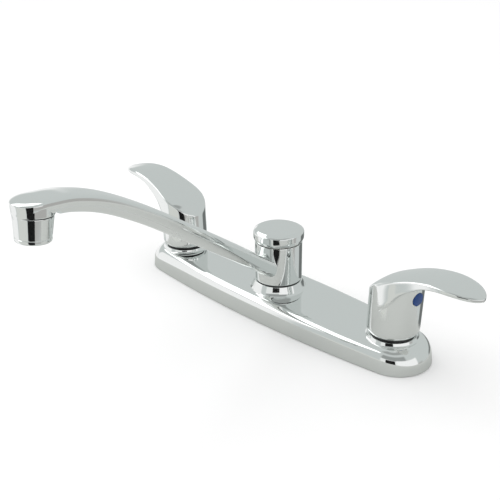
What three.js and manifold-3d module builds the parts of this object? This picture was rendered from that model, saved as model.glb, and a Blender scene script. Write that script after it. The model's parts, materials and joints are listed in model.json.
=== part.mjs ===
// Two handle kitchen faucet on an 8 inch deck plate, in millimetres.
// Frame: origin at the middle of the deck plate's underside, +X to the user's right (cold side),
// +Y away from the user (the spout points along -Y), +Z up. The worktop's surface is z = 0.
import * as THREE from "three";
import { mergeVertices } from "three/addons/utils/BufferGeometryUtils.js";
import Module from "manifold-3d";

const wasm = await Module();
wasm.setup();

// ---------------------------------------------------------------- driving dimensions
const VALVE_SPACING = 203.2; // 8 inch between the two valve axes
const FIT_GAP = 0.3; // left between pieces that seat on each other
const CUT = 1; // how far a cutter runs past the face it cuts

const PLATE_LENGTH = 257.4;
const PLATE_END_R = 23.4; // plan radius of the plate's two ends
const PLATE_HALF_WIDTH = 29.4; // at the middle of the bowed sides
const PLATE_TOP_HALF_WIDTH = 20; // the flat top is straight sided
const PLATE_TOP_END_R = 14;
const PLATE_TOP_BOW = 0.5;
const PLATE_HEIGHT = 16.4;
const PLATE_WALL_HEIGHT = 9.4; // the upright wall below the rounded shoulder, at mid length
const PLATE_END_WALL_HEIGHT = 6;
const PLATE_SHOULDER_SQUARENESS = 0.5; // 0 is a plain quarter ellipse
const PLATE_DRAFT = 0.5; // how far the wall leans in by the shoulder
const PLATE_WALL = 1.8;
const GASKET_THICKNESS = 2.2;

const SPOUT_BOSS_BASE_R = 21;
const SPOUT_BOSS_TOP_R = 17.4;
const SPOUT_BOSS_TOP_Z = 22.4;
const VALVE_BOSS_BASE_R = 19.2;
const VALVE_BOSS_TOP_R = 16.2;
const VALVE_BOSS_TOP_Z = 18.6;
const BOSS_EDGE = 0.4; // bevel at a boss's top
const BOSS_FLARE = 0.85; // share of its height that flares

const POST_R = 11.4;
const POST_BLOCK_R = 17;
const POST_BLOCK_TOP_Z = 14;
const POST_BORE_R = 5.5;
const POST_THREAD_R = 10.2;
const POST_THREAD_LENGTH = 5;
const RUNNING_GAP = 0.35; // radial clearance of the turning sleeve on the post
const PORT_GROOVE_DEPTH = 1.6;
const PORT_R = 3.2;
const ORING_SECTION_R = 0.85;
const ORING_GROOVE_DEPTH = 2;

const ORING_INSET = 3; // from each end of the sleeve

const SLEEVE_R = 16.8;
const SLEEVE_BOTTOM_Z = 23.8;
const SLEEVE_TOP_Z = 51.9;
const BEARING_RING_R = 16.1;
const CAP_WASHER_THICKNESS = 0.4;
const CAP_R = 18;
const CAP_TOP_R = 16.1;
const CAP_HEIGHT = 8.3;
const CAP_CHAMFER = 2;
const CAP_LIP = 0.5;
const CAP_TOP_WALL = 2.4;

const SPOUT_REACH = 190; // column axis to the outlet's seam with the aerator
const SPOUT_WIDTH = 21.6;
const SPOUT_CROWN_RISE = 2.2; // crown above the edges of the top face
const SPOUT_END_CROWN_RISE = 0.7;
const SPOUT_BELLY = 9.3; // depth below the edges of the top face
const SPOUT_END_BELLY = 9.6;
const SPOUT_WALL = 1.6;
const SPOUT_ROOT = 8; // where the tube starts inside the sleeve, from its axis
const CHANNEL_ROOT = 4;
const HEAD_R = 11.9;
const HEAD_SEAM_Z = 127.9;
const HEAD_HEIGHT = 5;
const HEAD_TILT = THREE.MathUtils.degToRad(6.5); // the outlet points a little outward
const HEAD_BORE_R = 9.6;
const AERATOR_HEIGHT = 15.4;
const AERATOR_TOP_R = 11.1;
const AERATOR_BOTTOM_R = 10.2;
const AERATOR_BORE_R = 8.4;
const AERATOR_NECK_LENGTH = 4.4;
const AERATOR_LIP = 0.6; // bevel round the mouth
const AERATOR_LEDGE = 1; // width of the ledge that holds the screen
const AERATOR_LEDGE_HEIGHT = 2;
const AERATOR_WASHER_THICKNESS = 2;
const AERATOR_WASHER_HOLE_R = 5.4;
const SCREEN_THICKNESS = 4.5;
const SCREEN_HOLE_R = 1.05;
const SCREEN_HOLE_CIRCLE_R = 4.6;

const HUB_R = 17.3;
const HUB_FOOT_R = 15.3;
const HUB_FOOT_ROUND = 3.4; // height of the rounding at the hub's foot
const HUB_LEAN = 0.045; // mm toward the lever for each mm of height
const HUB_CAVITY_R = 14.3;
const HUB_CAVITY_TOP_Z = 31.6;
const LEVER_REACH = 66.3; // hub axis to the lever's tip
const DOME_AT_HUB = 2.8; // how far the top face falls from its crown to its edges
const DOME_AT_TIP = 1;
const HANDLE_BLANK_Z = 90; // the blanks are cut down to the crown from here
const BUTTON_Z = 49;
const BUTTON_R = 4.5;
const BUTTON_THICKNESS = 2.6;
const BUTTON_PROUD = 0.5;
const SCREW_R = 2.3;
const SCREW_LENGTH = 6.4;
const SCREW_SOCKET_R = 1.2;
const SCREW_SOCKET_DEPTH = 3;
const COLD_REST_TURN = THREE.MathUtils.degToRad(-4.5); // as pictured, a little toward the user

const GLIDE_RING_R = 15;
const GLIDE_RING_THICKNESS = 1.2;
const LOCK_NUT_R = 13.9;
const LOCK_NUT_THICKNESS = 4;
const LOCK_NUT_SLOT = 3;
const LOCK_NUT_SLOT_DEPTH = 1;

const VALVE_BLOCK_R = 13;
const VALVE_BLOCK_TOP_Z = 14;
const VALVE_THREAD_R = 11.9;
const VALVE_TOP_Z = 26;
const VALVE_CHAMBER_R = 9.8;
const VALVE_CHAMBER_FLOOR_Z = 3.6;
const SHANK_R = 10.45; // half inch pipe thread
const SHANK_LENGTH = 48; // below the worktop's surface
const SHANK_BORE_R = 6.4;
const SHANK_CHAMFER = 1.2;
const DECK_ROOM = 13; // worktop thickness that the nuts are drawn up to
const CLAMP_WASHER_R = 19;
const CLAMP_WASHER_THICKNESS = 1.6;
const CLAMP_NUT_R = 18.5; // across the corners of the hexagon
const CLAMP_NUT_THICKNESS = 7;
const TUBE_R = 4.6;
const TUBE_BORE_R = 3.6;
const TUBE_Z = 8.9;
const SOCKET_DEPTH = 2.6;

const SEAL_THICKNESS = 1.7;
const SEAL_HOLE_R = 4;
const DISC_R = 7.8;
const FIXED_DISC_THICKNESS = 2.2;
const MOVING_DISC_THICKNESS = 2.2;
const DISC_PORT_R = 2.4;
const DISC_PORT_OFFSET = 4;
const STEM_FOOT_THICKNESS = 2.4;
const STEM_R = 4;
const STEM_BORE_R = 4.35;
const STEM_BEVEL = 0.6;
const CARTRIDGE_HEX_R = 11.2;
const CARTRIDGE_HEX_HEIGHT = 4;
const CARTRIDGE_WINDOW = [6, 3.6]; // width and height of each side window

const FINE = 36; // sides of the large turned pieces
const MEDIUM = 20;
const COARSE = 12;

// ---------------------------------------------------------------- sizes that follow
const VALVE_X = VALVE_SPACING / 2;
const PLATE_END_X = PLATE_LENGTH / 2 - PLATE_END_R;
const SLEEVE_BORE_R = POST_R + RUNNING_GAP;
const CAP_WASHER_Z = SLEEVE_TOP_Z + FIT_GAP;
const CAP_BOTTOM_Z = CAP_WASHER_Z + CAP_WASHER_THICKNESS + FIT_GAP;
const GASKET_TOP_Z = GASKET_THICKNESS;
const BLOCK_BOTTOM_Z = GASKET_TOP_Z + FIT_GAP;
const GLIDE_RING_Z = VALVE_BOSS_TOP_Z + FIT_GAP;
const HUB_BOTTOM_Z = GLIDE_RING_Z + GLIDE_RING_THICKNESS + FIT_GAP;
const LOCK_NUT_Z = HUB_BOTTOM_Z;
const SEAL_Z = VALVE_CHAMBER_FLOOR_Z + FIT_GAP;
const CARTRIDGE_Z = SEAL_Z + SEAL_THICKNESS + FIT_GAP;
const FIXED_DISC_Z = CARTRIDGE_Z + FIT_GAP;
const MOVING_DISC_Z = FIXED_DISC_Z + FIXED_DISC_THICKNESS + FIT_GAP;
const STEM_FOOT_Z = MOVING_DISC_Z + MOVING_DISC_THICKNESS + FIT_GAP;
const STEM_TOP_Z = BUTTON_Z + SCREW_R + FIT_GAP;
const BUTTON_FACE =
  HUB_R + HUB_LEAN * (BUTTON_Z - HUB_BOTTOM_Z) + BUTTON_PROUD;
const CARTRIDGE_TOP_Z = VALVE_TOP_Z + FIT_GAP + CARTRIDGE_HEX_HEIGHT;

// ---------------------------------------------------------------- materials
function finish(color, roughness, metalness) {
  return new THREE.MeshStandardMaterial({ color, roughness, metalness });
}

const CHROME = finish(0xd4d7d8, 0.06, 1);
const BRASS = finish(0xc8a45c, 0.35, 1);
const STEEL = finish(0xb9bcbe, 0.3, 1);
const BLACK_NYLON = finish(0x1b1c1e, 0.55, 0);
const BLACK_RUBBER = finish(0x202123, 0.8, 0);
const WHITE_CERAMIC = finish(0xe9e6de, 0.2, 0);
const WHITE_NYLON = finish(0xe4e4e0, 0.5, 0);
const BLUE_PLASTIC = finish(0x1557a8, 0.3, 0);
const RED_PLASTIC = finish(0xb5202a, 0.3, 0);

// ---------------------------------------------------------------- shape helpers
// A closed geometry as a solid that can be cut and joined.
function solid(geometry) {
  const bare = new THREE.BufferGeometry();
  bare.setAttribute("position", geometry.getAttribute("position"));
  if (geometry.index) bare.setIndex(geometry.index);
  const merged = mergeVertices(bare, 1e-4);
  const index = merged.index.array;
  const kept = [];
  for (let i = 0; i < index.length; i += 3) {
    const [a, b, c] = [index[i], index[i + 1], index[i + 2]];
    if (a !== b && b !== c && c !== a) kept.push(a, b, c);
  }
  return new wasm.Manifold(
    new wasm.Mesh({
      numProp: 3,
      vertProperties: merged.attributes.position.array,
      triVerts: new Uint32Array(kept),
    }),
  );
}

function geometryOf(shape) {
  const { numProp, vertProperties, triVerts } = shape.getMesh();
  const count = vertProperties.length / numProp;
  const position = new Float32Array(count * 3);
  for (let i = 0; i < count; i++) {
    position.set(vertProperties.subarray(i * numProp, i * numProp + 3), i * 3);
  }
  const geometry = new THREE.BufferGeometry();
  geometry.setAttribute("position", new THREE.BufferAttribute(position, 3));
  geometry.setIndex(new THREE.BufferAttribute(triVerts, 1));
  geometry.computeVertexNormals();
  return geometry;
}

function piece(name, shape, material) {
  const mesh = new THREE.Mesh(geometryOf(shape), material);
  mesh.name = name;
  return mesh;
}

// A profile of [radius, height] points turned about the Z axis. It runs upward on its outside.
function turned(profile, sides = MEDIUM) {
  const points = profile.map(([r, z]) => new THREE.Vector2(r, z));
  const geometry = new THREE.LatheGeometry(points, sides);
  return solid(geometry.rotateX(Math.PI / 2));
}

function disc(radius, bottom, top, sides = MEDIUM) {
  return turned(
    [
      [0, bottom],
      [radius, bottom],
      [radius, top],
      [0, top],
    ],
    sides,
  );
}

function ring(inner, outer, bottom, top, sides = MEDIUM) {
  return turned(
    [
      [inner, bottom],
      [outer, bottom],
      [outer, top],
      [inner, top],
      [inner, bottom],
    ],
    sides,
  );
}

// A round rod along X from x0 to x1.
function rodX(radius, x0, x1, z, sides = COARSE) {
  const geometry = new THREE.CylinderGeometry(radius, radius, x1 - x0, sides);
  geometry.rotateZ(Math.PI / 2).translate((x0 + x1) / 2, 0, z);
  return solid(geometry);
}

function block(width, depth, height, x, y, z) {
  return solid(new THREE.BoxGeometry(width, depth, height).translate(x, y, z));
}

// A closed skin over rings of points, each ring the same number of points, capped at both ends.
function loft(rings) {
  const count = rings[0].length;
  const position = [];
  const index = [];
  rings.flat().forEach((p) => position.push(p.x, p.y, p.z));
  for (let r = 0; r + 1 < rings.length; r++) {
    for (let i = 0; i < count; i++) {
      const j = (i + 1) % count;
      const [a, b] = [r * count + i, r * count + j];
      index.push(a, b, b + count, a, b + count, a + count);
    }
  }
  [0, rings.length - 1].forEach((r, last) => {
    const centre = new THREE.Vector3();
    rings[r].forEach((p) => centre.addScaledVector(p, 1 / count));
    const hub = position.length / 3;
    position.push(centre.x, centre.y, centre.z);
    for (let i = 0; i < count; i++) {
      const [a, b] = [r * count + i, r * count + ((i + 1) % count)];
      if (last) index.push(hub, a, b);
      else index.push(hub, b, a);
    }
  });
  const geometry = new THREE.BufferGeometry();
  geometry.setAttribute(
    "position",
    new THREE.Float32BufferAttribute(position, 3),
  );
  geometry.setIndex(index);
  return solid(geometry);
}

function placed(shape, x, y = 0, z = 0) {
  return solid(geometryOf(shape).translate(x, y, z));
}

// A shape drawn in the X-Z plane, given the thickness in Y and centred on y = 0.
function slab(points, thickness) {
  const outline = new THREE.Shape(
    points.map(([x, z]) => new THREE.Vector2(x, z)),
  );
  const geometry = new THREE.ExtrudeGeometry(outline, {
    depth: thickness,
    bevelEnabled: false,
    curveSegments: 1,
  });
  geometry.translate(0, 0, -thickness / 2).rotateX(Math.PI / 2);
  return solid(geometry);
}

function smooth(points, steps) {
  const curve = new THREE.SplineCurve(
    points.map(([a, b]) => new THREE.Vector2(a, b)),
  );
  return curve.getPoints(steps).map((p) => [p.x, p.y]);
}

// ---------------------------------------------------------------- deck plate
// Plan of the plate as a ring of points: round ends joined by sides that bow out to halfWidth.
function plateRing(endX, endR, halfWidth, z) {
  const endSteps = 10;
  const sideSteps = 8;
  const bow = Math.max(halfWidth - endR, 1e-3);
  const bowR = (endX ** 2 + halfWidth ** 2 - endR ** 2) / (2 * bow);
  const lean = Math.atan2(bowR - halfWidth, endX);
  const points = [];
  for (const side of [1, -1]) {
    for (let i = 0; i < endSteps; i++) {
      const a = lean * ((2 * i) / endSteps - 1);
      points.push([
        side * (endX + endR * Math.cos(a)),
        side * endR * Math.sin(a),
      ]);
    }
    for (let i = 0; i < sideSteps; i++) {
      const a = lean + (Math.PI - 2 * lean) * (i / sideSteps);
      points.push([
        side * bowR * Math.cos(a),
        side * (halfWidth - bowR + bowR * Math.sin(a)),
      ]);
    }
  }
  return points.map(([x, y]) => new THREE.Vector3(x, y, z));
}

// The plate's body between its foot and its flat top, grown inward by inset.
function plateBody(inset, bottom, drop) {
  const foot = plateRing(
    PLATE_END_X,
    PLATE_END_R - inset,
    PLATE_HALF_WIDTH - inset,
    bottom,
  );
  const broadness = (p) => (p.y / (PLATE_HALF_WIDTH - inset)) ** 2;
  const shoulder = plateRing(
    PLATE_END_X,
    PLATE_END_R - inset - PLATE_DRAFT,
    PLATE_HALF_WIDTH - inset - PLATE_DRAFT,
    0,
  );
  shoulder.forEach((p) => {
    p.z =
      THREE.MathUtils.lerp(
        PLATE_END_WALL_HEIGHT,
        PLATE_WALL_HEIGHT,
        broadness(p),
      ) - drop;
  });
  const top = plateRing(
    PLATE_END_X,
    PLATE_TOP_END_R - inset,
    PLATE_TOP_HALF_WIDTH - inset + PLATE_TOP_BOW,
    PLATE_HEIGHT - drop,
  );
  const rings = [foot];
  const steps = 4;
  for (let s = 0; s <= steps; s++) {
    const turn = (s / steps) * (Math.PI / 2);
    rings.push(
      shoulder.map((p, i) => {
        // The shoulder is round at the ends and squarer along the sides.
        const power = 1 - PLATE_SHOULDER_SQUARENESS * broadness(p);
        const inward = 1 - Math.cos(turn) ** power;
        const rise = Math.sin(turn) ** power;
        return new THREE.Vector3(
          p.x + (top[i].x - p.x) * inward,
          p.y + (top[i].y - p.y) * inward,
          p.z + (top[i].z - p.z) * rise,
        );
      }),
    );
  }
  return loft(rings);
}

// A collar that flares out of the plate's top.
function boss(baseR, topR, topZ) {
  const steps = 3;
  const rise = topZ - PLATE_HEIGHT;
  const profile = [
    [0, PLATE_HEIGHT - PLATE_WALL],
    [baseR, PLATE_HEIGHT - PLATE_WALL],
  ];
  for (let s = 0; s <= steps; s++) {
    const turn = (s / steps) * (Math.PI / 2);
    profile.push([
      baseR - (baseR - topR) * Math.sin(turn),
      PLATE_HEIGHT + rise * BOSS_FLARE * (1 - Math.cos(turn)),
    ]);
  }
  profile.push([topR, topZ - BOSS_EDGE], [topR - BOSS_EDGE, topZ], [0, topZ]);
  return turned(profile, FINE);
}

function deckPlate() {
  let plate = plateBody(0, 0, 0);
  plate = plate.add(
    boss(SPOUT_BOSS_BASE_R, SPOUT_BOSS_TOP_R, SPOUT_BOSS_TOP_Z),
  );
  const valveBoss = boss(VALVE_BOSS_BASE_R, VALVE_BOSS_TOP_R, VALVE_BOSS_TOP_Z);
  const hollow = plateBody(PLATE_WALL, -CUT, PLATE_WALL);
  plate = plate.subtract(placed(hollow, 0));
  for (const side of [-1, 1]) {
    const bore = disc(
      VALVE_THREAD_R + FIT_GAP,
      PLATE_WALL_HEIGHT,
      VALVE_BOSS_TOP_Z + CUT,
    );
    plate = plate.add(placed(valveBoss, side * VALVE_X).subtract(hollow));
    plate = plate.subtract(placed(bore, side * VALVE_X));
  }
  const postBore = disc(
    POST_R + 2 * FIT_GAP,
    PLATE_WALL_HEIGHT,
    SPOUT_BOSS_TOP_Z + CUT,
  );
  return piece("deck_plate", plate.subtract(postBore), CHROME);
}

function deckGasket() {
  const inset = PLATE_WALL + FIT_GAP;
  let gasket = loft([
    plateRing(
      PLATE_END_X,
      PLATE_END_R - inset - PLATE_DRAFT,
      PLATE_HALF_WIDTH - inset - PLATE_DRAFT,
      0,
    ),
    plateRing(
      PLATE_END_X,
      PLATE_END_R - inset - PLATE_DRAFT,
      PLATE_HALF_WIDTH - inset - PLATE_DRAFT,
      GASKET_TOP_Z,
    ),
  ]);
  for (const side of [-1, 1]) {
    const hole = disc(SHANK_R + FIT_GAP, -CUT, GASKET_TOP_Z + CUT);
    gasket = gasket.subtract(placed(hole, side * VALVE_X));
  }
  return piece("deck_gasket", gasket, BLACK_RUBBER);
}

// ---------------------------------------------------------------- centre post and waterways
function portZ() {
  return (SLEEVE_BOTTOM_Z + SLEEVE_TOP_Z) / 2;
}

function oringHeights() {
  const reach = (SLEEVE_TOP_Z - SLEEVE_BOTTOM_Z) / 2 - ORING_INSET;
  return { lower: portZ() - reach, upper: portZ() + reach };
}

function spoutPost() {
  const threadBottom = CAP_BOTTOM_Z - FIT_GAP;
  const threadTop = CAP_BOTTOM_Z + POST_THREAD_LENGTH;
  let post = turned(
    [
      [0, BLOCK_BOTTOM_Z],
      [POST_BLOCK_R, BLOCK_BOTTOM_Z],
      [POST_BLOCK_R, POST_BLOCK_TOP_Z],
      [POST_R, POST_BLOCK_TOP_Z],
      [POST_R, threadBottom],
      [POST_THREAD_R, threadBottom],
      [POST_THREAD_R, threadTop],
      [0, threadTop],
    ],
    MEDIUM,
  );
  const grooveHalf = ORING_SECTION_R + FIT_GAP;
  for (const z of Object.values(oringHeights())) {
    post = post.subtract(
      ring(
        POST_R - ORING_GROOVE_DEPTH,
        POST_R + CUT,
        z - grooveHalf,
        z + grooveHalf,
      ),
    );
  }
  const portHalf = PORT_R + FIT_GAP;
  post = post.subtract(
    ring(
      POST_R - PORT_GROOVE_DEPTH,
      POST_R + CUT,
      portZ() - portHalf,
      portZ() + portHalf,
    ),
  );
  post = post.subtract(
    disc(POST_BORE_R, TUBE_Z - TUBE_BORE_R, portZ() + PORT_R, COARSE),
  );
  const crossHole = rodX(PORT_R, -POST_R, POST_R, portZ());
  post = post.subtract(crossHole);
  post = post.subtract(
    solid(geometryOf(crossHole).rotateZ(Math.PI / 2)),
  );
  post = post.subtract(
    rodX(TUBE_BORE_R, -POST_BLOCK_R, POST_BLOCK_R, TUBE_Z),
  );
  for (const side of [-1, 1]) {
    const x = side * (POST_BLOCK_R - SOCKET_DEPTH);
    const socket = rodX(
      TUBE_R + FIT_GAP,
      Math.min(x, side * (POST_BLOCK_R + CUT)),
      Math.max(x, side * (POST_BLOCK_R + CUT)),
      TUBE_Z,
    );
    post = post.subtract(socket);
  }
  return piece("spout_post", post, BRASS);
}

function waterwayTube(name, side) {
  const inner = POST_BLOCK_R - SOCKET_DEPTH + FIT_GAP;
  const outer = VALVE_X - VALVE_BLOCK_R + SOCKET_DEPTH - FIT_GAP;
  const x0 = side > 0 ? inner : -outer;
  const x1 = side > 0 ? outer : -inner;
  const tube = rodX(TUBE_R, x0, x1, TUBE_Z).subtract(
    rodX(TUBE_BORE_R, x0 - CUT, x1 + CUT, TUBE_Z),
  );
  return piece(name, tube, BRASS);
}

function oring(name, z) {
  const centreR = POST_R - ORING_GROOVE_DEPTH + ORING_SECTION_R + FIT_GAP;
  const torus = new THREE.TorusGeometry(centreR, ORING_SECTION_R, 6, MEDIUM);
  return piece(name, solid(torus.translate(0, 0, z)), BLACK_RUBBER);
}

function bearingRing() {
  const bottom = SPOUT_BOSS_TOP_Z + FIT_GAP;
  const shape = ring(
    POST_R + FIT_GAP,
    BEARING_RING_R,
    bottom,
    SLEEVE_BOTTOM_Z - FIT_GAP,
    FINE,
  );
  return piece("spout_bearing_ring", shape, BLACK_NYLON);
}

function capWasher() {
  const shape = ring(
    POST_R + FIT_GAP,
    BEARING_RING_R,
    CAP_WASHER_Z,
    CAP_WASHER_Z + CAP_WASHER_THICKNESS,
    MEDIUM,
  );
  return piece("cap_washer", shape, WHITE_NYLON);
}

function spoutCap() {
  const top = CAP_BOTTOM_Z + CAP_HEIGHT;
  const boreR = POST_THREAD_R + FIT_GAP;
  const shape = turned(
    [
      [boreR, CAP_BOTTOM_Z],
      [CAP_R - CAP_LIP, CAP_BOTTOM_Z],
      [CAP_R, CAP_BOTTOM_Z + CAP_LIP],
      [CAP_R, top - CAP_CHAMFER],
      [(CAP_R + CAP_TOP_R) / 2 + CAP_LIP, top - CAP_CHAMFER / 3],
      [CAP_TOP_R, top],
      [0, top],
      [0, top - CAP_TOP_WALL],
      [boreR, top - CAP_TOP_WALL],
      [boreR, CAP_BOTTOM_Z],
    ],
    FINE,
  );
  return piece("spout_cap", shape, CHROME);
}

// ---------------------------------------------------------------- spout
// The crown of the spout in its middle plane, as [distance from the column's axis, height].
const SPOUT_CROWN = [
  [0, 32.5],
  [17, 44.7],
  [54, 70.5],
  [88, 93.3],
  [118, 112.9],
  [145, 127.2],
  [168, 134.5],
  [SPOUT_REACH - 3, 136.3],
  [SPOUT_REACH + HEAD_R, 135.5],
];

// The crown's point and direction at a distance from the column's axis.
function crownAt(distance) {
  const line = new THREE.SplineCurve(
    SPOUT_CROWN.map(([s, z]) => new THREE.Vector2(s, z)),
  );
  let [low, high] = [0, 1];
  for (let i = 0; i < 24; i++) {
    const middle = (low + high) / 2;
    if (line.getPoint(middle).x < distance) low = middle;
    else high = middle;
  }
  return { point: line.getPoint(low), along: line.getTangent(low) };
}

function spoutHalfWidth(distance) {
  const past = distance - SPOUT_REACH;
  if (past > 0) return Math.sqrt(Math.max(HEAD_R ** 2 - past ** 2, 0.04));
  return THREE.MathUtils.lerp(
    SPOUT_WIDTH / 2,
    HEAD_R,
    THREE.MathUtils.smoothstep(distance, 0, SPOUT_REACH),
  );
}

// Stations along the tube, closer together round the end of the head.
function spoutStations(from, to) {
  const steps = 16;
  const stations = [];
  const straight = Math.min(to, SPOUT_REACH);
  for (let k = 0; k <= steps; k++) {
    stations.push(from + ((straight - from) * k) / steps);
  }
  if (to > SPOUT_REACH) {
    for (const turn of [0.35, 0.7, 1, 1.25, 1.45]) {
      stations.push(SPOUT_REACH + HEAD_R * Math.sin(turn));
    }
  }
  return stations;
}

// Cross-sections along the tube, shrunk by wall: a low crown over a deep rounded belly.
const SIDE_POWER = 0.6; // under 1 squares the section's sides
const BELLY_POWER = 0.75;
const HEADWARD_START = 0.6; // share of the reach where the section starts to turn into the head's
function spoutRings(wall, from, to) {
  const sides = 16;
  return spoutStations(from, to).map((distance) => {
    const { point, along } = crownAt(distance);
    const half = spoutHalfWidth(distance) - wall;
    const headward = THREE.MathUtils.smoothstep(
      distance,
      HEADWARD_START * SPOUT_REACH,
      SPOUT_REACH,
    );
    const belly =
      THREE.MathUtils.lerp(SPOUT_BELLY, SPOUT_END_BELLY, headward) - wall;
    const crownRise = THREE.MathUtils.lerp(
      SPOUT_CROWN_RISE,
      SPOUT_END_CROWN_RISE,
      headward,
    );
    const ring = [];
    for (let i = 0; i < sides; i++) {
      const a = (2 * Math.PI * i) / sides;
      const [c, v] = [Math.cos(a), Math.sin(a)];
      const x = half * Math.sign(c) * Math.abs(c) ** SIDE_POWER;
      const rise = v > 0 ? crownRise * v : 0;
      const fall = v < 0 ? belly * Math.abs(v) ** BELLY_POWER : 0;
      const down = crownRise - rise + fall + wall / 2;
      ring.push(
        new THREE.Vector3(
          x,
          -(point.x + along.y * down),
          point.y - along.x * down,
        ),
      );
    }
    return ring;
  });
}

// A shape in the outlet's own frame (z = 0 at its seam, +z up) set on the end of the spout.
function atOutlet(shape) {
  const geometry = geometryOf(shape).rotateX(-HEAD_TILT);
  return solid(geometry.translate(0, -SPOUT_REACH, HEAD_SEAM_Z));
}

function spout() {
  const sleeve = disc(SLEEVE_R, SLEEVE_BOTTOM_Z, SLEEVE_TOP_Z, FINE);
  const tube = loft(spoutRings(0, SPOUT_ROOT, SPOUT_REACH + HEAD_R));
  const belowSeam = atOutlet(disc(HEAD_R + CUT, -HEAD_R, 0, FINE));
  const head = atOutlet(disc(HEAD_R, 0, HEAD_HEIGHT, FINE));
  const channel = loft(spoutRings(SPOUT_WALL, CHANNEL_ROOT, SPOUT_REACH));
  return piece(
    "spout",
    sleeve
      .add(tube)
      .subtract(belowSeam)
      .add(head)
      .subtract(channel)
      .subtract(
        disc(
          SLEEVE_BORE_R,
          SLEEVE_BOTTOM_Z - CUT,
          SLEEVE_TOP_Z + CUT,
          MEDIUM,
        ),
      )
      .subtract(atOutlet(disc(HEAD_BORE_R, -CUT, AERATOR_NECK_LENGTH, MEDIUM))),
    CHROME,
  );
}

// ---------------------------------------------------------------- aerator
function aeratorHousing() {
  const neckR = HEAD_BORE_R - FIT_GAP;
  const top = -FIT_GAP;
  const mouthR = AERATOR_BORE_R - AERATOR_LEDGE;
  const shape = turned(
    [
      [mouthR, -AERATOR_HEIGHT],
      [AERATOR_BOTTOM_R - AERATOR_LIP, -AERATOR_HEIGHT],
      [AERATOR_BOTTOM_R, AERATOR_LIP - AERATOR_HEIGHT],
      [AERATOR_TOP_R, top],
      [neckR, top],
      [neckR, top + AERATOR_NECK_LENGTH - FIT_GAP],
      [AERATOR_BORE_R, top + AERATOR_NECK_LENGTH - FIT_GAP],
      [AERATOR_BORE_R, AERATOR_LEDGE_HEIGHT - AERATOR_HEIGHT],
      [mouthR, AERATOR_LEDGE_HEIGHT - AERATOR_HEIGHT],
      [mouthR, -AERATOR_HEIGHT],
    ],
    FINE,
  );
  return piece("aerator_housing", atOutlet(shape), CHROME);
}

function aeratorScreen() {
  const bottom = AERATOR_LEDGE_HEIGHT - AERATOR_HEIGHT + FIT_GAP;
  let shape = disc(
    AERATOR_BORE_R - FIT_GAP,
    bottom,
    bottom + SCREEN_THICKNESS,
    MEDIUM,
  );
  const holes = [[0, 0]];
  for (let i = 0; i < 6; i++) {
    const a = (i * Math.PI) / 3;
    holes.push([
      SCREEN_HOLE_CIRCLE_R * Math.cos(a),
      SCREEN_HOLE_CIRCLE_R * Math.sin(a),
    ]);
  }
  for (const [x, y] of holes) {
    const hole = disc(
      SCREEN_HOLE_R,
      bottom - CUT,
      bottom + SCREEN_THICKNESS + CUT,
      8,
    );
    shape = shape.subtract(placed(hole, x, y));
  }
  return piece("aerator_screen", atOutlet(shape), WHITE_NYLON);
}

function aeratorWasher() {
  const bottom =
    AERATOR_LEDGE_HEIGHT - AERATOR_HEIGHT + SCREEN_THICKNESS + 2 * FIT_GAP;
  const shape = ring(
    AERATOR_WASHER_HOLE_R,
    AERATOR_BORE_R - FIT_GAP,
    bottom,
    bottom + AERATOR_WASHER_THICKNESS,
    MEDIUM,
  );
  return piece("aerator_washer", atOutlet(shape), BLACK_RUBBER);
}

// ---------------------------------------------------------------- valves, drawn on the Z axis
function valveBody(name, side) {
  let body = turned(
    [
      [0, -SHANK_LENGTH],
      [SHANK_R - SHANK_CHAMFER, -SHANK_LENGTH],
      [SHANK_R, SHANK_CHAMFER - SHANK_LENGTH],
      [SHANK_R, BLOCK_BOTTOM_Z],
      [VALVE_BLOCK_R, BLOCK_BOTTOM_Z],
      [VALVE_BLOCK_R, VALVE_BLOCK_TOP_Z],
      [VALVE_THREAD_R, VALVE_BLOCK_TOP_Z],
      [VALVE_THREAD_R, VALVE_TOP_Z],
      [0, VALVE_TOP_Z],
    ],
    MEDIUM,
  );
  body = body.subtract(
    disc(VALVE_CHAMBER_R, VALVE_CHAMBER_FLOOR_Z, VALVE_TOP_Z + CUT),
  );
  body = body.subtract(
    disc(
      SHANK_BORE_R,
      -SHANK_LENGTH - CUT,
      VALVE_CHAMBER_FLOOR_Z + CUT,
      COARSE,
    ),
  );
  const inward = -side; // the socket faces the middle of the plate
  const span = (r0, r1) => [
    Math.min(inward * r0, inward * r1),
    Math.max(inward * r0, inward * r1),
  ];
  const socketFloor = VALVE_BLOCK_R - SOCKET_DEPTH;
  body = body.subtract(
    rodX(TUBE_R + FIT_GAP, ...span(socketFloor, VALVE_BLOCK_R + CUT), TUBE_Z),
  );
  body = body.subtract(
    rodX(TUBE_BORE_R, ...span(0, socketFloor + CUT), TUBE_Z),
  );
  return piece(name, body, BRASS);
}

function seatSeal(name) {
  return piece(
    name,
    ring(
      SEAL_HOLE_R,
      VALVE_CHAMBER_R - FIT_GAP,
      SEAL_Z,
      SEAL_Z + SEAL_THICKNESS,
      COARSE,
    ),
    BLACK_RUBBER,
  );
}

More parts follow.
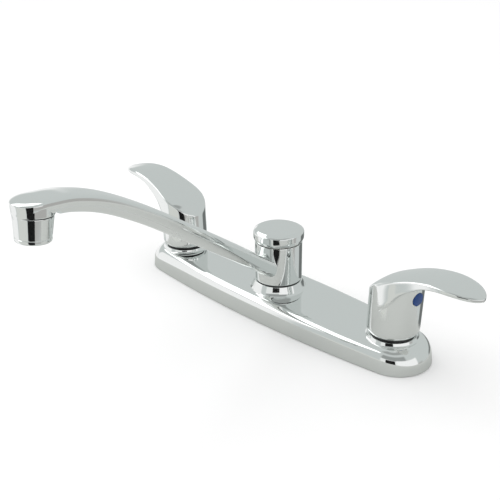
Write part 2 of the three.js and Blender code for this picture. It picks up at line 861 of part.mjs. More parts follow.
function cartridgeBody(name) {
  const shellR = VALVE_CHAMBER_R - FIT_GAP;
  const chamberR = DISC_R + FIT_GAP;
  const chamberTop = STEM_FOOT_Z + STEM_FOOT_THICKNESS + FIT_GAP;
  let body = disc(shellR, CARTRIDGE_Z, VALVE_TOP_Z + FIT_GAP, MEDIUM);
  body = body.add(
    disc(CARTRIDGE_HEX_R, VALVE_TOP_Z + FIT_GAP, CARTRIDGE_TOP_Z, 6),
  );
  body = body.subtract(disc(chamberR, CARTRIDGE_Z - CUT, chamberTop, COARSE));
  body = body.subtract(
    disc(STEM_BORE_R, CARTRIDGE_Z, CARTRIDGE_TOP_Z + CUT, COARSE),
  );
  const [width, height] = CARTRIDGE_WINDOW;
  body = body.subtract(
    block(
      2 * (shellR + CUT),
      width,
      height,
      0,
      0,
      STEM_FOOT_Z - FIT_GAP + height / 2,
    ),
  );
  return piece(name, body, BRASS);
}

// A ceramic disc with a pair of ports.
function ceramicDisc(name, bottom, thickness) {
  let shape = disc(DISC_R, bottom, bottom + thickness, COARSE);
  for (const side of [-1, 1]) {
    const port = disc(
      DISC_PORT_R,
      bottom - CUT,
      bottom + thickness + CUT,
      10,
    );
    shape = shape.subtract(placed(port, 0, side * DISC_PORT_OFFSET));
  }
  return piece(name, shape, WHITE_CERAMIC);
}

function stem(name) {
  const footTop = STEM_FOOT_Z + STEM_FOOT_THICKNESS;
  const shape = turned(
    [
      [0, STEM_FOOT_Z],
      [DISC_R - FIT_GAP, STEM_FOOT_Z],
      [DISC_R - FIT_GAP, footTop],
      [STEM_R, footTop],
      [STEM_R, STEM_TOP_Z - STEM_BEVEL],
      [STEM_R - STEM_BEVEL, STEM_TOP_Z],
      [0, STEM_TOP_Z],
    ],
    COARSE,
  );
  return piece(name, shape, BRASS);
}

function lockNut(name) {
  let nut = ring(
    VALVE_THREAD_R + FIT_GAP,
    LOCK_NUT_R,
    LOCK_NUT_Z,
    LOCK_NUT_Z + LOCK_NUT_THICKNESS,
    MEDIUM,
  );
  const top = LOCK_NUT_Z + LOCK_NUT_THICKNESS;
  const [across, deep] = [2 * (LOCK_NUT_R + CUT), 2 * LOCK_NUT_SLOT_DEPTH];
  nut = nut.subtract(block(across, LOCK_NUT_SLOT, deep, 0, 0, top));
  nut = nut.subtract(block(LOCK_NUT_SLOT, across, deep, 0, 0, top));
  return piece(name, nut, BRASS);
}

function glideRing(name) {
  return piece(
    name,
    ring(
      VALVE_THREAD_R + FIT_GAP,
      GLIDE_RING_R,
      GLIDE_RING_Z,
      GLIDE_RING_Z + GLIDE_RING_THICKNESS,
      FINE,
    ),
    BLACK_NYLON,
  );
}

function clampWasher(name) {
  const top = -DECK_ROOM;
  return piece(
    name,
    ring(
      SHANK_R + FIT_GAP,
      CLAMP_WASHER_R,
      top - CLAMP_WASHER_THICKNESS,
      top,
      MEDIUM,
    ),
    STEEL,
  );
}

function clampNut(name) {
  const top = -DECK_ROOM - CLAMP_WASHER_THICKNESS - FIT_GAP;
  const hexagon = disc(CLAMP_NUT_R, top - CLAMP_NUT_THICKNESS, top, 6);
  const hole = disc(
    SHANK_R + FIT_GAP,
    top - CLAMP_NUT_THICKNESS - CUT,
    top + CUT,
    MEDIUM,
  );
  return piece(name, hexagon.subtract(hole), BRASS);
}

// ---------------------------------------------------------------- handles, lever along +X
// Heights of the lever's crown and of its arched underside by distance from the hub's axis.
const CROWN = [
  [-HUB_R - 1, 43.5],
  [-12, 51.5],
  [-6, 57],
  [0, 60.3],
  [10, 64.4],
  [20, 67.6],
  [30, 69.8],
  [40, 71],
  [50, 70.8],
  [58, 69.8],
  [LEVER_REACH + 1, 67.8],
];
const ARCH = [
  [-2, 40],
  [8, 48],
  [14, 54],
  [18, 57.2],
  [23, 60.4],
  [30, 64.5],
  [38, 67],
  [47, 68.2],
  [56, 67.9],
  [LEVER_REACH + 1, 66.2],
];
// Half widths of the lever in plan, from the hub's side to the tip.
const LEVER_PLAN = [
  [2, HUB_R - 0.12],
  [8, HUB_R - 0.7],
  [13, 15.8],
  [24, 14.6],
  [38, 13.8],
  [48, 12.7],
  [56, 10.5],
  [62, 6.8],
  [65.3, 2.8],
  [LEVER_REACH, 0],
];

// Everything below the lever's domed top face.
function underCrown() {
  const across = 10;
  const reach = 1.5 * HUB_R; // past both sides of the handle
  return loft(
    smooth(CROWN, 20).map(([x, crown]) => {
      const along = THREE.MathUtils.smoothstep(x, -HUB_R, 3 * HUB_R);
      const dome = THREE.MathUtils.lerp(DOME_AT_HUB, DOME_AT_TIP, along);
      const section = [new THREE.Vector3(x, -reach, 0)];
      section.push(new THREE.Vector3(x, reach, 0));
      for (let i = 0; i <= across; i++) {
        const y = reach * (1 - (2 * i) / across);
        const fall = dome * (y / HUB_R) ** 2;
        section.push(new THREE.Vector3(x, y, crown - fall));
      }
      return section;
    }),
  );
}

function hubBlank() {
  const foot = [0, 1, 2, 3].map((k) => {
    const turn = (k / 3) * (Math.PI / 2);
    return [
      HUB_FOOT_R + (HUB_R - HUB_FOOT_R) * Math.sin(turn),
      HUB_BOTTOM_Z + HUB_FOOT_ROUND * (1 - Math.cos(turn)),
    ];
  });
  const upright = turned(
    [[0, HUB_BOTTOM_Z], ...foot, [HUB_R, HANDLE_BLANK_Z], [0, HANDLE_BLANK_Z]],
    FINE,
  );
  return upright.warp((point) => {
    point[0] += HUB_LEAN * (point[2] - HUB_BOTTOM_Z);
  });
}

function leverBlank() {
  const half = smooth(LEVER_PLAN, 14);
  const mirrored = half.slice(0, -1).reverse();
  const plan = new THREE.Shape([
    ...half.map(([x, y]) => new THREE.Vector2(x, y)),
    ...mirrored.map(([x, y]) => new THREE.Vector2(x, -y)),
  ]);
  const paddle = new THREE.ExtrudeGeometry(plan, {
    depth: HANDLE_BLANK_Z,
    bevelEnabled: false,
  });
  const aboveArch = slab(
    [
      ...smooth(ARCH, 12),
      [LEVER_REACH + 1, HANDLE_BLANK_Z],
      [ARCH[0][0], HANDLE_BLANK_Z],
    ],
    4 * HUB_R,
  );
  return solid(paddle).intersect(aboveArch);
}

function handle(name, side) {
  const body = hubBlank()
    .add(leverBlank())
    .intersect(underCrown())
    .subtract(disc(HUB_CAVITY_R, 0, HUB_CAVITY_TOP_Z))
    .subtract(disc(STEM_R + FIT_GAP, 0, STEM_TOP_Z + FIT_GAP, COARSE))
    .subtract(rodX(SCREW_R + FIT_GAP, 0, BUTTON_FACE, BUTTON_Z, 10))
    .subtract(
      rodX(
        BUTTON_R + FIT_GAP,
        BUTTON_FACE - BUTTON_THICKNESS - FIT_GAP,
        BUTTON_FACE + CUT,
        BUTTON_Z,
      ),
    );
  return facing(piece(name, body, CHROME), side);
}

function indexButton(name, side, material) {
  const inner = BUTTON_FACE - BUTTON_THICKNESS;
  const button = rodX(BUTTON_R, inner, BUTTON_FACE, BUTTON_Z);
  return facing(piece(name, button, material), side);
}

function handleScrew(name, side) {
  const start = STEM_R + FIT_GAP;
  const end = start + SCREW_LENGTH;
  const socket = rodX(
    SCREW_SOCKET_R,
    end - SCREW_SOCKET_DEPTH,
    end + CUT,
    BUTTON_Z,
    6,
  );
  const screw = rodX(SCREW_R, start, end, BUTTON_Z, 12).subtract(socket);
  return facing(piece(name, screw, STEEL), side);
}

// Turns a piece drawn with its lever along +X to the side it belongs on.
function facing(mesh, side) {
  mesh.geometry.rotateZ(side < 0 ? Math.PI : COLD_REST_TURN);
  return mesh;
}

// ---------------------------------------------------------------- assembly
const faucet = new THREE.Group();
faucet.add(
  deckPlate(),
  deckGasket(),
  spoutPost(),
  bearingRing(),
  oring("spout_oring_lower", oringHeights().lower),
  oring("spout_oring_upper", oringHeights().upper),
  capWasher(),
  spoutCap(),
  waterwayTube("hot_waterway_tube", -1),
  waterwayTube("cold_waterway_tube", 1),
  spout(),
  aeratorHousing(),
  aeratorScreen(),
  aeratorWasher(),
);

for (const [label, side, button] of [
  ["hot", -1, RED_PLASTIC],
  ["cold", 1, BLUE_PLASTIC],
]) {
  const station = new THREE.Group();
  station.position.x = side * VALVE_X;
  station.add(
    valveBody(label + "_valve_body", side),
    clampWasher(label + "_clamp_washer"),
    clampNut(label + "_clamp_nut"),
    seatSeal(label + "_seat_seal"),
    cartridgeBody(label + "_cartridge_body"),
    ceramicDisc(label + "_fixed_disc", FIXED_DISC_Z, FIXED_DISC_THICKNESS),
    ceramicDisc(label + "_moving_disc", MOVING_DISC_Z, MOVING_DISC_THICKNESS),
    stem(label + "_stem"),
    lockNut(label + "_lock_nut"),
    glideRing(label + "_glide_ring"),
    handle(label + "_handle", side),
    handleScrew(label + "_handle_screw", side),
    indexButton(label + "_index_button", side, button),
  );
  faucet.add(station);
}

export default faucet;
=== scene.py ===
"""Two handle kitchen faucet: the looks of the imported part.

Laid out as a Blender add-on and run as a script.
"""

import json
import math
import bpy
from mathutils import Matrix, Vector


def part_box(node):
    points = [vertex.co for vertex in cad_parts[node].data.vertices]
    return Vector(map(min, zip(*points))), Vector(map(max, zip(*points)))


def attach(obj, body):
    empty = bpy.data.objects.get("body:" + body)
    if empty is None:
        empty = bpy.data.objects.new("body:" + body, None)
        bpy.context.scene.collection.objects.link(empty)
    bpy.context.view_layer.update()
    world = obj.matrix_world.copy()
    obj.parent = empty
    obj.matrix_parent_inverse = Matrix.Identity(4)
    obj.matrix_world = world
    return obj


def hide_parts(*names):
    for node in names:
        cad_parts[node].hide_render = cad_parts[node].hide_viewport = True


bl_info = {
    "name": "Two handle kitchen faucet",
    "version": (1, 0, 0),
    "blender": (4, 5, 0),
    "location": "3D View > Sidebar > Faucet",
    "description": "Builds a plated two handle kitchen faucet and its studio on the packed frame",
    "category": "Object",
}

import bpy
from bpy.props import FloatProperty, FloatVectorProperty, PointerProperty, StringProperty
from mathutils import Matrix, Vector

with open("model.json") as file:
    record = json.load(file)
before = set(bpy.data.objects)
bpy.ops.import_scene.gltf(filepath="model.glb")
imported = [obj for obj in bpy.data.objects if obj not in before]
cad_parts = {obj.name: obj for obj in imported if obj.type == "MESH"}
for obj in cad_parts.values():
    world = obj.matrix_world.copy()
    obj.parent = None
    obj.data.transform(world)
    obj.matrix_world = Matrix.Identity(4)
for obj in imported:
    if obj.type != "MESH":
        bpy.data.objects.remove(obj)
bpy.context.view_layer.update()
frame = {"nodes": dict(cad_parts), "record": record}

MM = 0.001
SIDES = ("hot", "cold")

# ---------------------------------------------------------------- places read from the frame
HUB_CENTRE = {side: sum(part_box(f"{side}_glide_ring"), Vector()) / 2 for side in SIDES}
PLATE_LOW, PLATE_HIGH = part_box("deck_plate")

# ---------------------------------------------------------------- shapes, in mm
# Each collar's foot and top radius, its height over the worktop and how far it leans in per mm.
SPOUT_COLLAR = (20.2, 17.4, 22.65, 0.36)
HANDLE_COLLAR = (19.2, 16.5, 18.75, 0.27)
RIM_HEIGHT = 0.3  # the wall stops this far below the collar's top
COLLAR_RIM = ((0.08, 0.1), (0.35, 0), (6, 0))  # in from the top radius, and down from the top

# The spout's crown: distance from the column's axis and height.
SPOUT_CROWN = (
    (-20, 18.4), (0, 32.5), (17, 44.7), (54, 70.5), (88, 93.3), (118, 112.9),
    (145, 127.2), (168, 134.6), (186, 136.5), (196, 136.5), (204, 136.2), (216, 135.2),
)
SPOUT_START = 8  # the tube grows out of the column from here
ROOT_CROWN, HEAD_CROWN = 2.2, 1.2  # from the spine down to the tube's widest line
ROOT_BELLY, HEAD_BELLY = 9.3, 9.6  # from there down to its underside
SIDE_CURVE, BELLY_CURVE = 0.6, 0.75  # 1 is a plain ellipse and less is squarer

# Outsides of turned pieces: how far inside the outer radius, and height.
SLEEVE_BORE, SLEEVE_FOOT, SLEEVE_TOP = 11.75, 23.6, 51.9
SLEEVE_OUTSIDE = (
    (0.3, SLEEVE_FOOT), (0.08, 23.68), (0, 23.9), (0, 51.5), (0.1, 51.8), (0.4, SLEEVE_TOP),
)
CAP_BORE, CAP_CEILING = 10.5, 58.8
CAP_OUTSIDE = (
    (1.1, 52.9), (0.9, 53.0), (0.3, 54.2), (0.08, 54.9), (0, 55.6), (0, 59.1), (0.1, 59.5),
    (0.35, 59.85), (0.8, 60.2), (2.3, 61.0), (2.8, 61.2), (3.2, 61.28), (9, 61.3),
)
HEAD_BORE, HEAD_CEILING, HEAD_LIP = 9.6, 4, 0.3
HEAD_OUTSIDE = ((0.28, 0), (0.08, 0.08), (0, HEAD_LIP), (0, 5.2))
HEAD_TOP = (9, 5.3)  # radius and height, out of sight in the tube
BEARING_BORE, GLIDE_BORE = 11.7, 12.2

# The aerator housing's whole outline: radius and height from the head's seam.
AERATOR = (
    (7.4, -15.4), (9.4, -15.4), (9.85, -15.25), (10.15, -14.85), (10.28, -14.2), (10.28, -13.2),
    (10.08, -12.95), (10.3, -12.65), (11.35, -0.95), (11.28, -0.68), (11.1, -0.6), (9.3, -0.6),
    (9.3, 3.8), (8.4, 3.8), (8.4, -13.4), (7.4, -13.4), (7.4, -15.4),
)

# Heights of the lever's crown and of its arched underside, by distance from the hub's axis.
CROWN = (
    (-19, 42.6), (-12, 51.5), (-6, 57), (0, 60.3), (10, 64.4), (20, 67.6),
    (30, 69.8), (40, 71), (50, 70.8), (58, 69.8), (67.3, 67.8),
)
ARCH = (
    (-2, 40), (8, 48), (14, 54), (18, 57.2), (23, 60.4), (30, 64.5),
    (38, 66.6), (47, 67.2), (56, 66.7), (67.3, 65.2),
)
HUB_RADIUS = 17.3
# Half widths of the lever in plan, on a hub of that radius.
LEVER_PLAN = (
    (-6, 17.3), (2, 17.25), (8, 16.7), (13, 15.85), (24, 14.6), (38, 13.8), (48, 12.7),
    (56, 10.2), (61.5, 6.6), (64.4, 2.8), (65.4, 0),
)
LEVER_START, LEVER_TIP = 2, LEVER_PLAN[-1][0]
# The hot lever points straight out, and the cold one stands a little toward the user.
LEVER_TURN = {"hot": math.pi, "cold": math.radians(-4.5)}
ROOT_DOME, TIP_DOME = 2.8, 1.0  # how far the top falls from its spine to its sides
FLAT_FROM = 52  # from this far out the top falls as it does at the tip
HUB_FOOT, HUB_SHOULDER = 20.4, 39.0  # the open foot, and the top of the plain wall at the back
HUB_LEAN = 0.045  # toward the lever, per mm of rise
HUB_JOIN = 50  # about where the lever's underside meets the hub
HUB_AIM = 45  # lines under the lever run toward the hub's axis at this height
HOLLOW_RADIUS, HOLLOW_TOP = 14.3, 31.6
FILLET = 3.6  # between the lever's underside and the hub
TIP_EDGE = 3.2  # width of the edge's rounding at the lever's tip


# ---------------------------------------------------------------- sizes and colours
def length(name, description, millimetres):
    return FloatProperty(
        name=name, description=description, default=millimetres * MM, unit="LENGTH", precision=4
    )


def colour(name, description, hex_code):
    return StringProperty(name=name, description=description, default=hex_code)


class FaucetPlateSizes(bpy.types.PropertyGroup):
    length: length(
        "Length", "Overall length of the deck plate", (PLATE_HIGH.x - PLATE_LOW.x) / MM
    )
    end_radius: length("End radius", "Plan radius of the two ends at the foot", 23.4)
    half_width: length("Half width", "Half the width at the middle of the bowed sides", 29.4)
    height: length("Height", "Height of the flat top over the worktop", 16.4)
    side_wall: length("Side wall", "Height of the upright wall at mid length", 9.4)
    end_wall: length("End wall", "Height of the upright wall at the ends", 4)
    top_half_width: length("Top half width", "Half the width of the flat top", 20)
    top_end_radius: length("Top end radius", "Plan radius of the flat top's ends", 14)
    draft: length("Draft", "How far the wall leans in by the shoulder", 0.5)


class FaucetSpoutSizes(bpy.types.PropertyGroup):
    reach: length("Reach", "Column axis to the outlet", 190)
    half_width: length("Half width", "Half the tube's width at its root", 10.8)
    head_radius: length("Head radius", "Radius of the round outlet head", 11.9)
    seam_height: length("Seam height", "Height of the seam between head and aerator", 127.9)
    sleeve_radius: length("Sleeve radius", "Radius of the turning sleeve", 16.8)
    cap_radius: length("Cap radius", "Radius of the cap over the sleeve", 18)
    head_tilt: FloatProperty(
        name="Head tilt",
        description="How far the outlet leans outward",
        default=math.radians(6.5),
        subtype="ANGLE",
    )


class FaucetHandleSizes(bpy.types.PropertyGroup):
    hub_radius: length("Hub radius", "Radius of the handle's hub", HUB_RADIUS)
    foot_radius: length("Foot radius", "Radius of the hub's rounded foot", 15.3)
    foot_round: length("Foot rounding", "Height of the rounding at the hub's foot", 3.4)
    edge: length("Edge rounding", "Radius of the edge round the lever's top", 1.1)
    button_radius: length("Button radius", "Radius of the coloured index button", 4.4)
    button_height: length("Button height", "Height of the button's centre", 49)


class FaucetFinishes(bpy.types.PropertyGroup):
    chrome: colour("Chrome", "Reflected colour of the plating", "ECEEED")
    brass: colour("Brass", "Machined brass", "C8A45C")
    steel: colour("Steel", "Zinc plated steel", "B9BCBE")
    nylon: colour("Black nylon", "Moulded black nylon", "1B1C1E")
    # Also the colour of the painted shade in the spout's seam gaps.
    rubber: colour("Rubber", "Moulded black rubber", "202123")
    ceramic: colour("Ceramic", "Lapped alumina", "E9E6DE")
    white_nylon: colour("White nylon", "Moulded white acetal", "E4E4E0")
    blue: colour("Blue", "Cold index button", "023F85")
    red: colour("Red", "Hot index button", "B5202A")
    floor: colour("Floor", "Paper sweep under the faucet", "FEFEFE")
    floor_in_room: colour("Mirrored floor", "The sweep and table as the metal sees them", "CDCFCC")
    room: colour("Mirrored room", "The studio's far walls as the metal sees them", "CCD1D0")


class FaucetStudio(bpy.types.PropertyGroup):
    camera_place: FloatVectorProperty(
        name="Camera place",
        description="Where the camera stands",
        default=(0.385495, -0.408795, 0.300363),
        subtype="TRANSLATION",
        precision=4,
    )
    camera_pan: FloatProperty(
        name="Pan",
        description="Heading of the camera's line of sight",
        default=2.363,
        subtype="ANGLE",
    )
    camera_tilt: FloatProperty(
        name="Tilt", description="How far the camera looks down", default=0.428, subtype="ANGLE"
    )
    camera_roll: FloatProperty(
        name="Roll",
        description="Turn of the camera about its line of sight",
        default=-0.009,
        subtype="ANGLE",
    )
    focal_length: FloatProperty(
        name="Focal length", description="Focal length in mm on a 36 mm sensor", default=62.586
    )
    key_power: FloatProperty(
        name="Key power", description="Power of the high softbox", default=3.1, unit="POWER"
    )
    surround: FloatProperty(
        name="Surround",
        description="Strength of the plain light from all round",
        default=0.97,
        min=0.0,
    )


# ---------------------------------------------------------------- shape helpers
ROUND_SIDES = 128
SMOOTH_BELOW = math.radians(32)
BEVEL_ABOVE = math.radians(30)


def lerp(a, b, share):
    return a + (b - a) * share


def eased(low, high, value):
    """0 up to low, 1 from high on, and a smooth rise between."""
    share = min(max((value - low) / (high - low), 0), 1)
    return share * share * (3 - 2 * share)


def along(points, x):
    """The height at x of a smooth curve through points, as a cubic between each two."""
    for k in range(len(points) - 1):
        if x <= points[k + 1][0] or k == len(points) - 2:
            break
    (x0, z0), (x1, z1) = points[k], points[k + 1]
    before, after = points[max(k - 1, 0)], points[min(k + 2, len(points) - 1)]
    slope0 = (z1 - before[1]) / (x1 - before[0])
    slope1 = (after[1] - z0) / (after[0] - x0)
    span = x1 - x0
    t = (x - x0) / span
    return (
        (2 * t**3 - 3 * t**2 + 1) * z0
        + (t**3 - 2 * t**2 + t) * span * slope0
        + (3 * t**2 - 2 * t**3) * z1
        + (t**3 - t**2) * span * slope1
    )


def deselect_everything():
    if bpy.context.mode != "OBJECT":
        bpy.ops.object.mode_set(mode="OBJECT")
    bpy.ops.object.select_all(action="DESELECT")


def select_only(piece):
    deselect_everything()
    piece.select_set(True)
    bpy.context.view_layer.objects.active = piece


def joined(name, pieces):
    """Several meshes as one piece."""
    deselect_everything()
    for piece in pieces:
        piece.select_set(True)
    bpy.context.view_layer.objects.active = pieces[0]
    bpy.ops.object.join()
    pieces[0].name = name
    return pieces[0]


def smooth_shaded(piece):
    select_only(piece)
    bpy.ops.object.shade_smooth_by_angle(angle=SMOOTH_BELOW)


def in_place(piece):
    """The piece's own turn and place go into its mesh, so its object sits at the origin."""
    select_only(piece)
    bpy.ops.object.transform_apply(location=True, rotation=True, scale=True)


def bevelled(piece, width):
    bevel = piece.modifiers.new("edges", "BEVEL")
    bevel.width = width * MM
    bevel.segments = 3
    bevel.limit_method = "ANGLE"
    bevel.angle_limit = BEVEL_ABOVE
    select_only(piece)
    bpy.ops.object.modifier_apply(modifier=bevel.name)


def cut(piece, cutter):
    """Takes the cutter's shape out of the piece, and the cutter away."""
    boolean = piece.modifiers.new("cut", "BOOLEAN")
    boolean.operation = "DIFFERENCE"
    boolean.solver = "EXACT"
    boolean.object = cutter
    select_only(piece)
    bpy.ops.object.modifier_apply(modifier=boolean.name)
    bpy.data.objects.remove(cutter)


def held(profile, hold=0.3):
    """The profile with a point near each end of its long runs, so their shading stays true."""
    points = [profile[0]]
    for (r0, z0), (r1, z1) in zip(profile, profile[1:]):
        run = math.hypot(r1 - r0, z1 - z0)
        if run > 4 * hold:
            points += [(lerp(r0, r1, s), lerp(z0, z1, s)) for s in (hold / run, 1 - hold / run)]
        points.append((r1, z1))
    return points


def weld():
    """In edit mode: merges what lies in one place and turns the faces outwards."""
    bpy.ops.mesh.select_all(action="SELECT")
    bpy.ops.mesh.remove_doubles(threshold=0.002 * MM)
    bpy.ops.mesh.normals_make_consistent(inside=False)
    bpy.ops.object.mode_set(mode="OBJECT")


def turned(name, profile, centre=(0, 0), hollow=False):
    """A circle drawn up and resized from each (radius, height) to the next, in mm, as on a lathe.

    A solid one starts and ends in a flat face. A hollow one ends where it starts.
    """
    deselect_everything()
    profile = held(profile)
    radius, height = profile[0]
    x, y = centre
    bpy.ops.mesh.primitive_circle_add(
        vertices=ROUND_SIDES,
        radius=radius * MM,
        location=(x, y, height * MM),
        fill_type="NOTHING" if hollow else "NGON",
    )
    piece = bpy.context.object
    piece.name = name
    in_place(piece)
    bpy.ops.object.mode_set(mode="EDIT")
    bpy.ops.mesh.select_all(action="SELECT")
    for (r0, z0), (r1, z1) in zip(profile, profile[1:]):
        bpy.ops.mesh.extrude_region_move(TRANSFORM_OT_translate={"value": (0, 0, (z1 - z0) * MM)})
        bpy.ops.transform.resize(value=(r1 / r0, r1 / r0, 1), center_override=(x, y, z1 * MM))
    weld()
    return piece


def wrapped(name, rings):
    """A grid bent round rings of points, in mm, with its seam and its poles merged."""
    deselect_everything()
    columns = len(rings[0])
    bpy.ops.mesh.primitive_grid_add(
        x_subdivisions=columns, y_subdivisions=len(rings) - 1, location=(0, 0, 0)
    )
    piece = bpy.context.object
    piece.name = name
    for index, vertex in enumerate(piece.data.vertices):
        row, column = divmod(index, columns + 1)
        vertex.co = Vector(rings[row][column % columns]) * MM
    bpy.ops.object.mode_set(mode="EDIT")
    weld()
    return piece


def gap_painted_dark(piece, inner, outer, low, high):
    """Level faces between two radii and two heights, in mm, take the black rubber finish: painted
    shade for the dark gap of a seam.
    """
    piece.data.materials.append(finish_for("chrome"))
    piece.data.materials.append(finish_for("black_rubber"))
    # Painted shade: the gap's level faces are drawn black instead of chrome.
    for face in piece.data.polygons:
        radius, height = face.center.xy.length / MM, face.center.z / MM
        if inner < radius < outer and low < height < high and abs(face.normal.z) > 0.9:
            face.material_index = 1


def stands_for(piece, node, body, slot_name):
    """Puts the piece in the place of its CAD node, in its slot's material if it has none yet."""
    if not piece.data.materials:
        piece.data.materials.append(finish_for(slot_name))
    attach(piece, body)
    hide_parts(node)


# ---------------------------------------------------------------- material helpers
def linear(hex_code):
    """An sRGB hex colour as linear red, green, blue and alpha."""
    channels = [int(hex_code[k : k + 2], 16) / 255 for k in (0, 2, 4)]
    return (*[c / 12.92 if c <= 0.04045 else ((c + 0.055) / 1.055) ** 2.4 for c in channels], 1)


def add_node(tree, kind, settings=None, **links):
    """A new node with its settings. Inputs are linked or set, by name or by number as i0, i1."""
    made = tree.nodes.new(kind)
    for key, value in (settings or {}).items():
        setattr(made, key, value)
    for key, value in links.items():
        numbered = key[0] == "i" and key[1:].isdigit()
        socket = made.inputs[int(key[1:]) if numbered else key.replace("_", " ")]
        if isinstance(value, bpy.types.NodeSocket):
            tree.links.new(value, socket)
        else:
            socket.default_value = value
    return made


def new_material(name, hex_code=None, metallic=0.0):
    """A new material, its node tree and its shader. If the name is taken, that one and no tree."""
    material = bpy.data.materials.get(name)
    if material:
        return material, None, None
    material = bpy.data.materials.new(name)
    material.use_nodes = True
    tree = material.node_tree
    tree.nodes.clear()
    shader = add_node(tree, "ShaderNodeBsdfPrincipled", Metallic=metallic)
    if hex_code:
        shader.inputs["Base Color"].default_value = linear(hex_code)
    add_node(tree, "ShaderNodeOutputMaterial", Surface=shader.outputs["BSDF"])
    return material, tree, shader


def relief(tree, shader, grain_mm, depth_mm, detail=2.0):
    """A fine bump of the given size over the whole surface. Gives back its noise."""
    place = add_node(tree, "ShaderNodeTexCoord")
    noise = add_node(
        tree,
        "ShaderNodeTexNoise",
        Vector=place.outputs["Object"],
        Scale=1 / (grain_mm * MM),
        Detail=detail,
    )
    bump = add_node(
        tree, "ShaderNodeBump", Height=noise.outputs["Fac"], Distance=depth_mm * MM, Strength=1.0
    )
    tree.links.new(bump.outputs["Normal"], shader.inputs["Normal"])
    return noise


def fine_surface(tree, shader, grain_mm, depth_mm, low, high):
    """A fine bump, and roughness that wanders with it from low to high."""
    noise = relief(tree, shader, grain_mm, depth_mm)
    rough = add_node(
        tree, "ShaderNodeMapRange", Value=noise.outputs["Fac"], To_Min=low, To_Max=high
    )
    tree.links.new(rough.outputs["Result"], shader.inputs["Roughness"])


def bright_chrome(hex_code):
    """Bright chromium plating over polished brass: a cool mirror, faintly uneven from buffing."""
    material, tree, shader = new_material("bright_chromium_plating", hex_code, 1.0)
    if tree:
        place = add_node(tree, "ShaderNodeTexCoord")
        # Buffing leaves hazier patches some 9 mm across.
        haze = add_node(
            tree,
            "ShaderNodeTexNoise",
            Vector=place.outputs["Object"],
            Scale=1 / (9 * MM),
            Detail=2.0,
        )
        rough = add_node(
            tree, "ShaderNodeMapRange", Value=haze.outputs["Fac"], To_Min=0.035, To_Max=0.075
        )
        tree.links.new(rough.outputs["Result"], shader.inputs["Roughness"])
        # The metal under the plating is level to 0.05 mm over 14 mm.
        relief(tree, shader, grain_mm=14, depth_mm=0.05, detail=1.0)
    return material


def machined_brass(hex_code):
    """Free cutting brass off a lathe: warm, with fine turning rings."""
    material, tree, shader = new_material("machined_brass", hex_code, 1.0)
    if tree:
        shader.inputs["Roughness"].default_value = 0.32
        place = add_node(tree, "ShaderNodeTexCoord")
        # Feed marks 2.83 mm apart up the axis, much coarser than real ones so that they show.
        # The texture makes 20 radians of wave for each unit of length and of scale.
        rings = add_node(
            tree,
            "ShaderNodeTexWave",
            {"wave_type": "BANDS", "bands_direction": "Z", "wave_profile": "SIN"},
            Vector=place.outputs["Object"],
            Scale=2 * math.pi / (20 * 2.8274 * MM),
            Distortion=0.2,
        )
        bump = add_node(
            tree,
            "ShaderNodeBump",
            Height=rings.outputs["Fac"],
            Distance=0.012 * MM,
            Strength=1.0,
        )
        tree.links.new(bump.outputs["Normal"], shader.inputs["Normal"])
    return material


def zinc_plated_steel(hex_code):
    """Pressed steel with bright zinc: pale, slightly mottled crystals."""
    material, tree, shader = new_material("zinc_plated_steel", hex_code, 1.0)
    if tree:
        fine_surface(tree, shader, grain_mm=1.2, depth_mm=0.008, low=0.25, high=0.42)
    return material


def fine_grained(name, hex_code, roughness, grain_mm, depth_mm, ior):
    """A moulded plastic or rubber with the mould's grain, a lapped ceramic or a velvet."""
    material, tree, shader = new_material(name, hex_code)
    if tree:
        shader.inputs["IOR"].default_value = ior
        fine_surface(tree, shader, grain_mm, depth_mm, roughness - 0.05, roughness + 0.05)
    return material


METALS = {"chrome": bright_chrome, "brass": machined_brass, "steel": zinc_plated_steel}

# By slot: the material, its colour's property, roughness, grain and depth in mm, and IOR.
GRAINED = {
    # A soft sheen on near black, from the mould's spark eroded face.
    "black_nylon": ("moulded_black_nylon", "nylon", 0.45, 0.6, 0.01, 1.53),
    # Dull all over, with hardly a highlight. It also paints the shade in the spout's seam gaps.
    "black_rubber": ("moulded_nitrile_rubber_and_gap_shade", "rubber", 0.75, 0.8, 0.02, 1.52),
    # Lapped flat: smooth, pale and a little shiny.
    "white_ceramic": ("lapped_alumina", "ceramic", 0.18, 0.5, 0.002, 1.76),
    # Milky and half matt.
    "white_nylon": ("moulded_acetal", "white_nylon", 0.4, 0.7, 0.006, 1.48),
    # A polished mould leaves a clear highlight on an even colour.
    "blue_plastic": ("moulded_blue_abs", "blue", 0.22, 0.7, 0.004, 1.53),
    "red_plastic": ("moulded_red_abs", "red", 0.22, 0.7, 0.004, 1.53),
}


def finish_for(slot_name):
    """The material of a record slot."""
    finishes = bpy.context.scene.faucet_finishes
    if slot_name in METALS:
        return METALS[slot_name](getattr(finishes, slot_name))
    name, shade, roughness, grain, depth, ior = GRAINED[slot_name]
    return fine_grained(name, getattr(finishes, shade), roughness, grain, depth, ior)


# ---------------------------------------------------------------- plate
def plate_outline(end_x, end_r, half_width):
    """Plan of the plate: two round ends joined by sides that bow out, as points in order."""
    columns = 240
    bow = max(half_width - end_r, 1e-6)
    bow_r = (end_x**2 + half_width**2 - end_r**2) / (2 * bow)
    lean = math.atan2(bow_r - half_width, end_x)
    per_end = columns // 6
    per_side = columns // 2 - per_end
    points = []
    for way in (1, -1):
        for i in range(per_end):
            a = lean * (2 * i / per_end - 1)
            points.append((way * (end_x + end_r * math.cos(a)), way * end_r * math.sin(a)))
        for i in range(per_side):
            a = lean + (math.pi - 2 * lean) * i / per_side
            across = half_width - bow_r + bow_r * math.sin(a)
            points.append((way * bow_r * math.cos(a), way * across))
    return points


